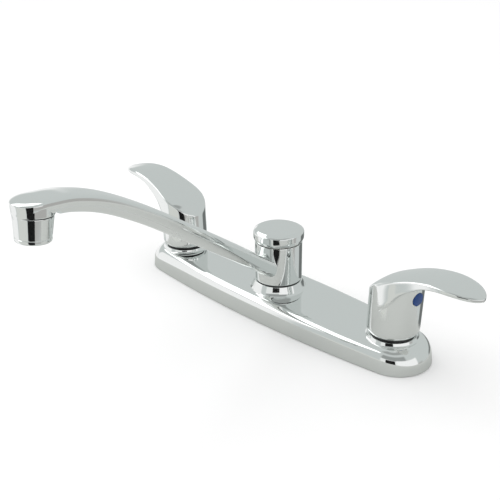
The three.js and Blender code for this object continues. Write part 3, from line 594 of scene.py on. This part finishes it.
def plate_rings(sizes):
    """The plate's skin, ring by ring, from under its foot to the middle of its flat top."""
    end_r, half = sizes.end_radius / MM, sizes.half_width / MM
    end_x = sizes.length / MM / 2 - end_r
    height, draft = sizes.height / MM, sizes.draft / MM
    foot = plate_outline(end_x, end_r, half)
    shoulder = plate_outline(end_x, end_r - draft, half - draft)
    top = plate_outline(end_x, sizes.top_end_radius / MM, sizes.top_half_width / MM + 0.5)
    # The hollow's edge, the foot and its small round.
    rings = [
        [(0.9 * x, 0.9 * y, 1) for x, y in foot],
        [(0.995 * x, 0.985 * y, 0) for x, y in foot],
        [(x, y, 0.35) for x, y in foot],
    ]
    steps = 14
    for step in range(steps + 1):
        turn = step / steps * math.pi / 2
        ring = []
        for (sx, sy), (tx, ty) in zip(shoulder, top):
            sideways = (sy / half) ** 2
            wall = lerp(sizes.end_wall / MM, sizes.side_wall / MM, sideways)
            power = lerp(1.25, 0.85, sideways)  # squarer along the sides than at the ends
            inward = 1 - math.cos(turn) ** power if step < steps else 1
            rise = math.sin(turn) ** power
            ring.append((lerp(sx, tx, inward), lerp(sy, ty, inward), lerp(wall, height, rise)))
        rings.append(ring)
    for share in (0.85, 0.5, 0):
        rings.append([(x, y * share, height) for x, y in top])
    return rings


def collar(name, plate, centre, foot_r, top_r, height, lean):
    """A leaning collar whose foot flares out to a crease wherever the plate's surface lies."""
    x, y = (c / MM for c in centre)
    steps = 20
    lines = []
    for k in range(ROUND_SIDES):
        a = 2 * math.pi * k / ROUND_SIDES
        way = Vector((math.cos(a), math.sin(a), 0))
        above = Vector((*centre, 0.1)) + way * foot_r * MM
        found, hit, _, _ = plate.ray_cast(above, Vector((0, 0, -1)))
        if not found:
            raise RuntimeError(f"{name} has no plate under its foot")
        low = hit.z / MM
        slant = lean * (height - low)
        flare = max(foot_r - top_r - slant, 0)
        line = [(foot_r + 0.9, low - 2.2)]  # inside the plate, out of sight
        for step in range(steps + 1):
            share = 1 - math.cos(step / steps * math.pi / 2)
            left = 1 - share
            radius = top_r + slant * left + flare * left**6
            line.append((radius, lerp(low, height - RIM_HEIGHT, share)))
        line += [(top_r - inset, height - down) for inset, down in COLLAR_RIM]
        line.append((0, height))
        lines.append([(x + way.x * r, y + way.y * r, z) for r, z in line])
    return wrapped(name, list(zip(*lines)))


class FAUCET_OT_deck_plate(bpy.types.Operator):
    """Bowed deck plate with a flared collar under each handle and the spout"""

    bl_idname = "faucet.deck_plate"
    bl_label = "Deck plate"

    def execute(self, context):
        sizes = context.scene.faucet_plate
        body = wrapped("plate_body", plate_rings(sizes))
        collars = [collar("spout_collar", body, (0, 0), *SPOUT_COLLAR)]
        for side in SIDES:
            collars.append(collar(f"{side}_collar", body, HUB_CENTRE[side].xy, *HANDLE_COLLAR))
        plate = joined("plated_deck_plate", [body, *collars])
        smooth_shaded(plate)
        stands_for(plate, "deck_plate", "base", "chrome")
        return {"FINISHED"}


# ---------------------------------------------------------------- spout and column
def spout_section(distance, sizes):
    """The tube's cross-section at a distance from the column: a low crown over a deep belly."""
    sides = 64
    reach, head_r = sizes.reach / MM, sizes.head_radius / MM
    height = along(SPOUT_CROWN, distance)
    slope = along(SPOUT_CROWN, distance + 0.5) - along(SPOUT_CROWN, distance - 0.5)
    run = 1 / math.hypot(1, slope)
    rise_along = slope * run
    past = distance - reach
    if past > 0:
        half = math.sqrt(max(head_r**2 - past**2, 1e-4))
        height -= 0.5 * (1 - half / head_r)
    else:
        half = lerp(sizes.half_width / MM, head_r, eased(0, reach, distance))
    headward = eased(0.6 * reach, reach, distance)
    crown_rise = lerp(ROOT_CROWN, HEAD_CROWN, headward)
    belly = lerp(ROOT_BELLY, HEAD_BELLY, headward)
    ring = []
    for i in range(sides):
        a = 2 * math.pi * i / sides
        c, v = math.cos(a), math.sin(a)
        x = half * math.copysign(abs(c) ** SIDE_CURVE, c)
        down = crown_rise * (1 - max(v, 0)) + (belly * abs(v) ** BELLY_CURVE if v < 0 else 0)
        ring.append((x, -(distance + rise_along * down), height - run * down))
    return ring


def spout_tube(sizes):
    """The arched tube, closed at both ends, with the round top of the outlet head."""
    reach, head_r = sizes.reach / MM, sizes.head_radius / MM
    seam, tilt = sizes.seam_height / MM, sizes.head_tilt
    steps, round_steps = 80, 16
    stations = [SPOUT_START + (reach - SPOUT_START) * k / steps for k in range(steps + 1)]
    stations += [
        reach + head_r * math.sin(k * math.pi / 2 / round_steps) for k in range(1, round_steps + 1)
    ]
    rings = []
    for station in stations:
        ring = []
        for x, y, z in spout_section(station, sizes):
            # Nothing of the tube hangs below the head's slanting seam.
            if y < head_r - reach:
                z = max(z, seam + HEAD_LIP + (y + reach) * math.tan(tilt))
            ring.append((x, y, z))
        rings.append(ring)
    ends = [
        [tuple(sum(point[k] for point in ring) / len(ring) for k in range(3))] * len(ring)
        for ring in (rings[0], rings[-1])
    ]
    return wrapped("spout_tube", [ends[0], *rings, ends[1]])


def at_outlet(piece, sizes):
    """Tilts a piece made about the seam's centre and takes it to the outlet."""
    piece.rotation_euler.x = -sizes.head_tilt
    piece.location = (0, -sizes.reach, sizes.seam_height)
    in_place(piece)


class FAUCET_OT_spout(bpy.types.Operator):
    """Arched swivel spout: its sleeve, its tube and the round head at the outlet"""

    bl_idname = "faucet.spout"
    bl_label = "Spout"

    def execute(self, context):
        sizes = context.scene.faucet_spout
        sleeve_r, head_r = sizes.sleeve_radius / MM, sizes.head_radius / MM
        sleeve = turned(
            "sleeve",
            [
                (SLEEVE_BORE, SLEEVE_FOOT),
                *[(sleeve_r - inset, height) for inset, height in SLEEVE_OUTSIDE],
                (SLEEVE_BORE, SLEEVE_TOP),
                (SLEEVE_BORE, SLEEVE_FOOT),
            ],
            hollow=True,
        )
        tube = spout_tube(sizes)
        head = turned(
            "head",
            [
                (HEAD_BORE, HEAD_CEILING),
                (HEAD_BORE, 0),
                *[(head_r - inset, height) for inset, height in HEAD_OUTSIDE],
                HEAD_TOP,
            ],
        )
        # The head's underside at the seam is drawn black: painted shade of the gap over the
        # aerator.
        gap_painted_dark(head, HEAD_BORE, head_r, low=-0.1, high=0.05)
        at_outlet(head, sizes)
        for piece in (sleeve, tube):
            piece.data.materials.append(finish_for("chrome"))
        spout = joined("plated_spout", [sleeve, tube, head])
        smooth_shaded(spout)
        stands_for(spout, "spout", "swing_spout", "chrome")
        return {"FINISHED"}


def flat_ring(name, low, high, bore, centre, edge):
    """A plain ring between two corners of a box, with softened edges."""
    outer = (high.x - low.x) / 2 / MM
    z0, z1 = low.z / MM, high.z / MM
    profile = [(bore, z0), (outer, z0), (outer, z1), (bore, z1), (bore, z0)]
    ring = turned(name, profile, centre, hollow=True)
    bevelled(ring, edge)
    smooth_shaded(ring)
    return ring


class FAUCET_OT_column(bpy.types.Operator):
    """Cap over the column and the dark ring that the sleeve turns on"""

    bl_idname = "faucet.column"
    bl_label = "Column cap and ring"

    def execute(self, context):
        cap_r = context.scene.faucet_spout.cap_radius / MM
        cap = turned(
            "plated_cap",
            [
                (CAP_BORE, CAP_CEILING),
                (CAP_BORE, CAP_OUTSIDE[0][1]),
                *[(cap_r - inset, height) for inset, height in CAP_OUTSIDE],
                (1, CAP_OUTSIDE[-1][1]),
            ],
        )
        smooth_shaded(cap)
        stands_for(cap, "spout_cap", "base", "chrome")
        low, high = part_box("spout_bearing_ring")
        ring = flat_ring("sleeve_bearing_ring", low, high, BEARING_BORE, (0, 0), edge=0.12)
        stands_for(ring, "spout_bearing_ring", "base", "black_nylon")
        return {"FINISHED"}


class FAUCET_OT_aerator(bpy.types.Operator):
    """Aerator housing under the spout's head"""

    bl_idname = "faucet.aerator"
    bl_label = "Aerator"

    def execute(self, context):
        housing = turned("plated_aerator_housing", AERATOR, hollow=True)
        # The groove's floor under the head is drawn black: painted shade of the seam's gap.
        gap_painted_dark(housing, 9.3, 11.2, low=-0.7, high=-0.5)
        at_outlet(housing, context.scene.faucet_spout)
        smooth_shaded(housing)
        stands_for(housing, "aerator_housing", "swing_spout", "chrome")
        return {"FINISHED"}


# ---------------------------------------------------------------- handles
def hub_lean(z):
    """The hub leans a little toward the lever as it rises."""
    return HUB_LEAN * (z - HUB_FOOT)


def top_face(x, y, radius):
    """Height of the handle's top: its crown, domed across and flatter toward the tip."""
    dome = lerp(ROOT_DOME, TIP_DOME, eased(-radius, FLAT_FROM, x))
    return along(CROWN, x) - dome * (y / radius) ** 2


def handle_outline(radius):
    """The handle's plan as (x, y, on the lever), from the tip round the hub's back to the tip."""
    lever, back = 88, 56
    wide = radius / HUB_RADIUS
    half = []
    for k in range(lever):
        x = LEVER_START + (LEVER_TIP - LEVER_START) * math.cos(k / lever * math.pi / 2)
        half.append((x, max(along(LEVER_PLAN, x) * wide, 0) if k else 0.0, True))
    hub = [
        (radius * math.cos(a), radius * math.sin(a), False)
        for a in (math.pi / 2 + math.pi * k / back for k in range(back + 1))
    ]
    return half + hub + [(x, -y, on) for x, y, on in reversed(half[1:])]


def inward_normals(points):
    """For each point of a closed outline, the way into it."""
    count = len(points)
    normals = []
    for k in range(count):
        before, after = points[k - 1], points[(k + 1) % count]
        tangent = Vector((after[0] - before[0], after[1] - before[1])).normalized()
        normals.append(Vector((-tangent.y, tangent.x)))
    return normals


def quarter(steps, first=0):
    """The angles from 0 to a quarter turn, in even steps."""
    return [k / steps * math.pi / 2 for k in range(first, steps + 1)]


def underside(x, to_hub):
    """Height of the lever's arched underside, which runs down onto the hub in a fillet."""
    near = max(FILLET - to_hub, 0)
    return along(ARCH, max(x, ARCH[0][0])) - (FILLET - math.sqrt(max(FILLET**2 - near**2, 0)))


def handle_column(point, normal, sizes):
    """One line over the handle: spine, edge, side, underside, hub wall, foot and hollow."""
    x, y, on_lever = point
    radius, foot = sizes.hub_radius / MM, sizes.foot_radius / MM
    foot_round, edge = sizes.foot_round / MM, sizes.edge / MM
    lean = 0 if on_lever else 1
    aim = math.atan2(y, x - (hub_lean(HUB_AIM) if on_lever else 0))

    def on_hub(z, r=radius):
        return (hub_lean(z) + r * math.cos(aim), r * math.sin(aim), z)

    join_x, join_y, _ = on_hub(HUB_JOIN)
    if on_lever:
        to_hub = math.hypot(x - join_x, y - join_y)
        low = underside(x, to_hub)
    else:
        to_hub, low = 0.0, HUB_SHOULDER
    # The edge is tight along the hub and widens to the tip.
    wide = lerp(edge, TIP_EDGE, eased(22, 60, x))
    px, py = x + normal.x * wide + lean * hub_lean(HUB_JOIN), y + normal.y * wide
    if abs(py) < 0.02 or py * y < 0:
        py = 0.0
    drop = min(edge, 0.5 * (top_face(px, py, radius) - low))
    rows = []
    for share in (0, 0.2, 0.4, 0.6, 0.8):
        rows.append((px, py * share, top_face(px, py * share, radius)))
    for turn in quarter(7):
        inset = wide * (1 - math.sin(turn))
        ex, ey = x + normal.x * inset, y + normal.y * inset
        if ey * y < 0:
            ey = 0.0
        z = top_face(ex + lean * hub_lean(HUB_JOIN), ey, radius) - drop * (1 - math.cos(turn))
        rows.append((ex + lean * hub_lean(z), ey, z))
    side_top = rows[-1][2]
    lip = min(0.8, 0.45 * to_hub, 0.45 * (side_top - low))
    for share in (0.25, 0.5, 0.75):
        z = lerp(side_top, low + lip, share)
        rows.append((x + lean * hub_lean(z), y, z))
    for turn in quarter(5):
        inset, z = lip * (1 - math.cos(turn)), low + lip * (1 - math.sin(turn))
        rows.append((x + normal.x * inset + lean * hub_lean(z), y + normal.y * inset, z))
    start_x, start_y, _ = rows[-1]
    under = 18
    for k in range(1, under + 1):
        share = 1 - (1 - k / under) ** 2
        if on_lever:
            qx, qy = lerp(start_x, join_x, share), lerp(start_y, join_y, share)
            z = underside(qx, math.hypot(qx - join_x, qy - join_y))
            hx, hy, _ = on_hub(z)
            rows.append((lerp(qx, hx, share), lerp(qy, hy, share), z))
        else:
            rows.append(rows[-1])
    wall_top = rows[-1][2]
    round_top = HUB_FOOT + 0.1 + foot_round
    for share in (0.2, 0.4, 0.6, 0.8, 1):
        rows.append(on_hub(lerp(wall_top, round_top, share)))
    for turn in quarter(8, 1):
        z = round_top - foot_round * math.sin(turn)
        rows.append(on_hub(z, lerp(radius, foot, 1 - math.cos(turn))))
    rows += [
        on_hub(HUB_FOOT, foot - 0.4),
        on_hub(HUB_FOOT, HOLLOW_RADIUS),
        on_hub(HOLLOW_TOP, HOLLOW_RADIUS),
        (hub_lean(HOLLOW_TOP), 0.0, HOLLOW_TOP),
    ]
    return rows


def handle_shell(sizes):
    """Hub and paddle lever as one skin."""
    points = handle_outline(sizes.hub_radius / MM)
    columns = [handle_column(p, n, sizes) for p, n in zip(points, inward_normals(points))]
    return wrapped("handle_shell", list(zip(*columns)))


class FAUCET_OT_handles(bpy.types.Operator):
    """Hot and cold lever handles with their index buttons"""

    bl_idname = "faucet.handles"
    bl_label = "Handles"

    def execute(self, context):
        sizes = context.scene.faucet_handle
        button_r, button_z = sizes.button_radius / MM, sizes.button_height / MM
        face = sizes.hub_radius / MM + hub_lean(button_z)
        for side in SIDES:
            handle = handle_shell(sizes)
            handle.name = f"{side}_plated_handle"
            # The socket is a little wider and deeper than the button, which stands 0.35 mm proud.
            cut(handle, self.disc("socket", button_r + 0.3, face - 2.4, face + 3, button_z))
            button = self.disc(f"{side}_button", button_r, face - 2.1, face + 0.35, button_z)
            bevelled(button, width=0.5)
            for piece, node, slot_name in (
                (handle, "handle", "chrome"),
                (button, "index_button", {"cold": "blue_plastic", "hot": "red_plastic"}[side]),
            ):
                piece.rotation_euler.z = LEVER_TURN[side]
                piece.location = (*HUB_CENTRE[side].xy, 0)
                in_place(piece)
                smooth_shaded(piece)
                stands_for(piece, f"{side}_{node}", f"{side}_lever", slot_name)
        return {"FINISHED"}

    def disc(self, name, radius, x0, x1, z):
        """A round disc whose axis lies along the lever."""
        deselect_everything()
        bpy.ops.mesh.primitive_cylinder_add(
            vertices=64,
            radius=radius * MM,
            depth=(x1 - x0) * MM,
            location=((x0 + x1) / 2 * MM, 0, z * MM),
            rotation=(0, math.pi / 2, 0),
        )
        piece = bpy.context.object
        piece.name = name
        in_place(piece)
        return piece


class FAUCET_OT_glide_rings(bpy.types.Operator):
    """Black nylon rings that the handles turn on, which also paint the shade of the gap under each
    hub
    """

    bl_idname = "faucet.glide_rings"
    bl_label = "Glide rings"

    def execute(self, context):
        for side in SIDES:
            low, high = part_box(f"{side}_glide_ring")
            # A black ring in the gap under each hub: a part the handle turns on, and painted shade
            # for that gap.
            name, centre = f"{side}_glide_ring_and_gap_shade", HUB_CENTRE[side].xy
            ring = flat_ring(name, low, high, GLIDE_BORE, centre, edge=0.15)
            stands_for(ring, f"{side}_glide_ring", "base", "black_nylon")
        return {"FINISHED"}


class FAUCET_OT_inner_parts(bpy.types.Operator):
    """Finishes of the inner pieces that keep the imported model's shapes"""

    bl_idname = "faucet.inner_parts"
    bl_label = "Inner parts"

    def execute(self, context):
        slots = {entry["node"]: entry["material_slot"] for entry in frame["record"]["subparts"]}
        for name, node in frame["nodes"].items():
            node.data.materials.clear()
            node.data.materials.append(finish_for(slots[name]))
        return {"FINISHED"}


# ---------------------------------------------------------------- studio
# The parts of the sweep that metal sees: from and to along X, then along Y, in mm.
BOARDS = (((-150, 190), (-80, 50)), ((108, 250), (-150, 50)))

# What metal sees round the faucet: name, heading, middle height, half width, half height and
# soft edge, in degrees, and tone. A later card hides an earlier one.
CARDS = (
    ("sweep_behind", 169, -6, 24, 17, 6, "FFFFFF"),
    ("far_right_wall", 350, -15, 48, 15, 8, "B4B3B1"),
    ("dark_corner", 92, -24, 20, 18, 6, "737776"),
    ("front_wall", 305, 32, 45, 13, 8, "9DA1A0"),
    ("front_sweep", 305, 6, 45, 14, 6, "F0F2F1"),
    ("low_fill", 268, -24, 26, 22, 4, "DADCD8"),
    ("low_right_softbox", 349, 6, 33, 17, 6, "FFFFFF"),
    ("side_softbox", 215, -8, 22, 50, 7, "FFFFFF"),
    ("softbox_gap", 228, 35.5, 15, 1.6, 1.5, "8A8D8C"),
    ("ceiling", 318, 68, 85, 9, 6, "A4A7A6"),
)
TABLE_EDGE = (-52, -46)  # in degrees of height: all table below the first, none over the second
BOARD_EDGE = 12 * MM  # width of a board's soft edge


def band(tree, value, half, soft):
    """1 while the value is within half a width either way, and 0 past a soft edge."""
    off = add_node(tree, "ShaderNodeMath", {"operation": "ABSOLUTE"}, i0=value)
    share = add_node(
        tree,
        "ShaderNodeMapRange",
        {"interpolation_type": "SMOOTHSTEP"},
        Value=off.outputs[0],
        From_Min=half - soft / 2,
        From_Max=half + soft / 2,
        To_Min=1.0,
        To_Max=0.0,
    )
    return share.outputs["Result"]


def matt_white_paper(finishes):
    """Matt paper. Metal sees it a little greyer, only on the boards, and the room past them."""
    material, tree, shader = new_material("matt_white_paper")
    if not tree:
        return material
    ray = add_node(tree, "ShaderNodeLightPath")
    place = add_node(tree, "ShaderNodeTexCoord")
    across = add_node(tree, "ShaderNodeSeparateXYZ", Vector=place.outputs["Object"])
    tone = add_node(
        tree,
        "ShaderNodeMix",
        {"data_type": "RGBA"},
        i0=ray.outputs["Is Camera Ray"],
        i6=linear(finishes.floor_in_room),
        i7=linear(finishes.floor),
    )
    tree.links.new(tone.outputs[2], shader.inputs["Base Color"])
    shader.inputs["Roughness"].default_value = 0.9
    shader.inputs["Specular IOR Level"].default_value = 0.0
    seen = 0.0
    for board in BOARDS:
        on_board = 1.0
        for axis, (low, high) in zip("XY", board):
            offset = add_node(
                tree,
                "ShaderNodeMath",
                {"operation": "SUBTRACT"},
                i0=across.outputs[axis],
                i1=(low + high) / 2 * MM,
            )
            on_board = add_node(
                tree,
                "ShaderNodeMath",
                {"operation": "MINIMUM"},
                i0=on_board,
                i1=band(tree, offset.outputs[0], (high - low) / 2 * MM, BOARD_EDGE),
            ).outputs[0]
        seen = add_node(
            tree, "ShaderNodeMath", {"operation": "MAXIMUM"}, i0=seen, i1=on_board
        ).outputs[0]
    unseen = add_node(
        tree,
        "ShaderNodeMath",
        {"operation": "SUBTRACT", "use_clamp": True},
        i0=ray.outputs["Is Glossy Ray"],
        i1=seen,
    )
    clear = add_node(tree, "ShaderNodeBsdfTransparent")
    shown = add_node(
        tree,
        "ShaderNodeMixShader",
        i0=unseen.outputs[0],
        i1=shader.outputs["BSDF"],
        i2=clear.outputs["BSDF"],
    )
    output = next(n for n in tree.nodes if n.type == "OUTPUT_MATERIAL")
    tree.links.new(shown.outputs["Shader"], output.inputs["Surface"])
    return material


class FAUCET_OT_stage(bpy.types.Operator):
    """Paper sweep, soft lights and the camera at the photograph's angle"""

    bl_idname = "faucet.stage"
    bl_label = "Studio"

    def execute(self, context):
        scene = context.scene
        studio = scene.faucet_studio
        self.camera(scene, studio)
        self.floor(scene)
        self.lights(studio)
        self.flag()
        self.surround(scene, studio)
        scene.view_settings.view_transform = "Standard"
        return {"FINISHED"}

    def camera(self, scene, studio):
        pan, tilt, roll = studio.camera_pan, studio.camera_tilt, studio.camera_roll
        level = math.cos(tilt)
        ahead = Vector((math.cos(pan) * level, math.sin(pan) * level, -math.sin(tilt)))
        right = ahead.cross(Vector((0, 0, 1))).normalized()
        up = right.cross(ahead)
        right, up = (
            right * math.cos(roll) + up * math.sin(roll),
            up * math.cos(roll) - right * math.sin(roll),
        )
        deselect_everything()
        bpy.ops.object.camera_add()
        camera = bpy.context.object
        camera.name = "photo_camera"
        camera.data.lens = studio.focal_length
        camera.data.sensor_width = 36
        camera.data.clip_start, camera.data.clip_end = 0.01, 20
        turn = Matrix((right, up, -ahead)).transposed().to_4x4()
        camera.matrix_world = Matrix.Translation(studio.camera_place) @ turn
        scene.camera = camera

    def floor(self, scene):
        """A wide round sweep of white paper, just under the faucet's foot."""
        deselect_everything()
        bpy.ops.mesh.primitive_circle_add(
            vertices=96, radius=3, fill_type="NGON", location=(0, 0, -0.2 * MM)
        )
        floor = bpy.context.object
        floor.name = "paper_sweep"
        in_place(floor)
        floor.data.materials.append(matt_white_paper(scene.faucet_finishes))

    def lights(self, studio):
        """One wide softbox high on the left."""
        heading, rise, distance = math.radians(200), math.radians(50), 1.3
        width, height = 1.6, 0.55
        level = math.cos(rise)
        way = Vector((math.cos(heading) * level, math.sin(heading) * level, math.sin(rise)))
        place = way * distance
        deselect_everything()
        bpy.ops.object.light_add(type="AREA", location=place)
        lamp = bpy.context.object
        lamp.name = "high_softbox"
        lamp.data.shape = "RECTANGLE"
        lamp.data.size, lamp.data.size_y = width, height
        lamp.data.energy = studio.key_power
        lamp.rotation_euler = (-place).to_track_quat("-Z", "Y").to_euler()

    def flag(self):
        """A tall black flag just out of the picture, which the metal mirrors as a dark stripe."""
        heading, distance = math.radians(303.5), 0.57
        width, low, high = 0.3, -0.45, 0.18
        place = (math.cos(heading) * distance, math.sin(heading) * distance, (low + high) / 2)
        deselect_everything()
        bpy.ops.mesh.primitive_plane_add(
            size=1, location=place, rotation=(math.pi / 2, 0, heading + math.pi / 2)
        )
        flag = bpy.context.object
        flag.name = "black_flag"
        flag.scale = (width, high - low, 1)
        in_place(flag)
        velvet = fine_grained(
            "black_velvet", "060606", roughness=0.9, grain_mm=0.6, depth_mm=0.1, ior=1.5
        )
        flag.data.materials.append(velvet)
        flag.visible_camera = flag.visible_diffuse = flag.visible_shadow = False

    def surround(self, scene, studio):
        """A pale room for metal to mirror, white behind the object and plain light on the rest."""
        world = bpy.data.worlds.new("pale_studio")
        scene.world = world
        world.use_nodes = True
        tree = world.node_tree
        tree.nodes.clear()
        place = add_node(tree, "ShaderNodeTexCoord")
        way = place.outputs["Generated"]
        up = add_node(
            tree, "ShaderNodeVectorMath", {"operation": "DOT_PRODUCT"}, i0=way, i1=(0, 0, 1)
        )
        height = add_node(
            tree, "ShaderNodeMath", {"operation": "ARCSINE"}, i0=up.outputs["Value"]
        ).outputs[0]
        tone = linear(scene.faucet_finishes.room)
        for name, heading, middle, half_width, half_height, soft, hex_code in CARDS:
            turn = math.radians(heading)
            left, ahead = (
                add_node(
                    tree, "ShaderNodeVectorMath", {"operation": "DOT_PRODUCT"}, i0=way, i1=axis
                ).outputs["Value"]
                for axis in (
                    (-math.sin(turn), math.cos(turn), 0),
                    (math.cos(turn), math.sin(turn), 0),
                )
            )
            aside = add_node(
                tree, "ShaderNodeMath", {"operation": "ARCTAN2"}, i0=left, i1=ahead
            )
            above = add_node(
                tree,
                "ShaderNodeMath",
                {"operation": "SUBTRACT"},
                i0=height,
                i1=math.radians(middle),
            )
            card = add_node(
                tree,
                "ShaderNodeMath",
                {"operation": "MULTIPLY"},
                i0=band(tree, aside.outputs[0], math.radians(half_width), math.radians(soft)),
                i1=band(tree, above.outputs[0], math.radians(half_height), math.radians(soft)),
            )
            tone = add_node(
                tree,
                "ShaderNodeMix",
                {"data_type": "RGBA", "label": name},
                i0=card.outputs[0],
                i6=tone,
                i7=linear(hex_code),
            ).outputs[2]
        # Straight down lies the table, out of reach of the lamps.
        table = add_node(
            tree,
            "ShaderNodeMapRange",
            {"interpolation_type": "SMOOTHSTEP"},
            Value=height,
            From_Min=math.radians(TABLE_EDGE[0]),
            From_Max=math.radians(TABLE_EDGE[1]),
            To_Min=1.0,
            To_Max=0.0,
        )
        tone = add_node(
            tree,
            "ShaderNodeMix",
            {"data_type": "RGBA", "label": "table"},
            i0=table.outputs["Result"],
            i6=tone,
            i7=linear(scene.faucet_finishes.floor_in_room),
        ).outputs[2]
        mirrored = add_node(tree, "ShaderNodeBackground", Color=tone, Strength=1.0)
        plain, white = (
            add_node(tree, "ShaderNodeBackground", Color=(1, 1, 1, 1), Strength=strength)
            for strength in (studio.surround, 1.0)
        )
        ray = add_node(tree, "ShaderNodeLightPath")
        shiny = add_node(
            tree,
            "ShaderNodeMath",
            {"operation": "MAXIMUM"},
            i0=ray.outputs["Is Glossy Ray"],
            i1=ray.outputs["Is Transmission Ray"],
        )
        inner = add_node(
            tree,
            "ShaderNodeMixShader",
            i0=shiny.outputs[0],
            i1=plain.outputs["Background"],
            i2=mirrored.outputs["Background"],
        )
        outer = add_node(
            tree,
            "ShaderNodeMixShader",
            i0=ray.outputs["Is Camera Ray"],
            i1=inner.outputs["Shader"],
            i2=white.outputs["Background"],
        )
        add_node(tree, "ShaderNodeOutputWorld", Surface=outer.outputs["Shader"])


# ---------------------------------------------------------------- panel and run
class FAUCET_PT_panel(bpy.types.Panel):
    """Lists the faucet's pieces and sizes"""

    bl_idname = "FAUCET_PT_panel"
    bl_label = "Kitchen faucet"
    bl_space_type = "VIEW_3D"
    bl_region_type = "UI"
    bl_category = "Faucet"

    def draw(self, context):
        for operator in OPERATORS:
            self.layout.operator(operator.bl_idname)
        for pointer, group in GROUPS.items():
            box = self.layout.box()
            for name in group.__annotations__:
                box.prop(getattr(context.scene, pointer), name)


GROUPS = {
    "faucet_plate": FaucetPlateSizes,
    "faucet_spout": FaucetSpoutSizes,
    "faucet_handle": FaucetHandleSizes,
    "faucet_finishes": FaucetFinishes,
    "faucet_studio": FaucetStudio,
}
OPERATORS = (
    FAUCET_OT_stage,
    FAUCET_OT_inner_parts,
    FAUCET_OT_deck_plate,
    FAUCET_OT_spout,
    FAUCET_OT_column,
    FAUCET_OT_aerator,
    FAUCET_OT_handles,
    FAUCET_OT_glide_rings,
)


def register():
    for group in GROUPS.values():
        bpy.utils.register_class(group)
    for kind in (*OPERATORS, FAUCET_PT_panel):
        bpy.utils.register_class(kind)
    for pointer, group in GROUPS.items():
        setattr(bpy.types.Scene, pointer, PointerProperty(type=group))


def unregister():
    for pointer in GROUPS:
        delattr(bpy.types.Scene, pointer)
    for kind in (FAUCET_PT_panel, *reversed(OPERATORS)):
        bpy.utils.unregister_class(kind)
    for group in reversed(GROUPS.values()):
        bpy.utils.unregister_class(group)


def main():
    register()
    bpy.ops.faucet.stage()
    bpy.ops.faucet.inner_parts()
    bpy.ops.faucet.deck_plate()
    bpy.ops.faucet.spout()
    bpy.ops.faucet.column()
    bpy.ops.faucet.aerator()
    bpy.ops.faucet.handles()
    bpy.ops.faucet.glide_rings()


if __name__ == "__main__":
    main()
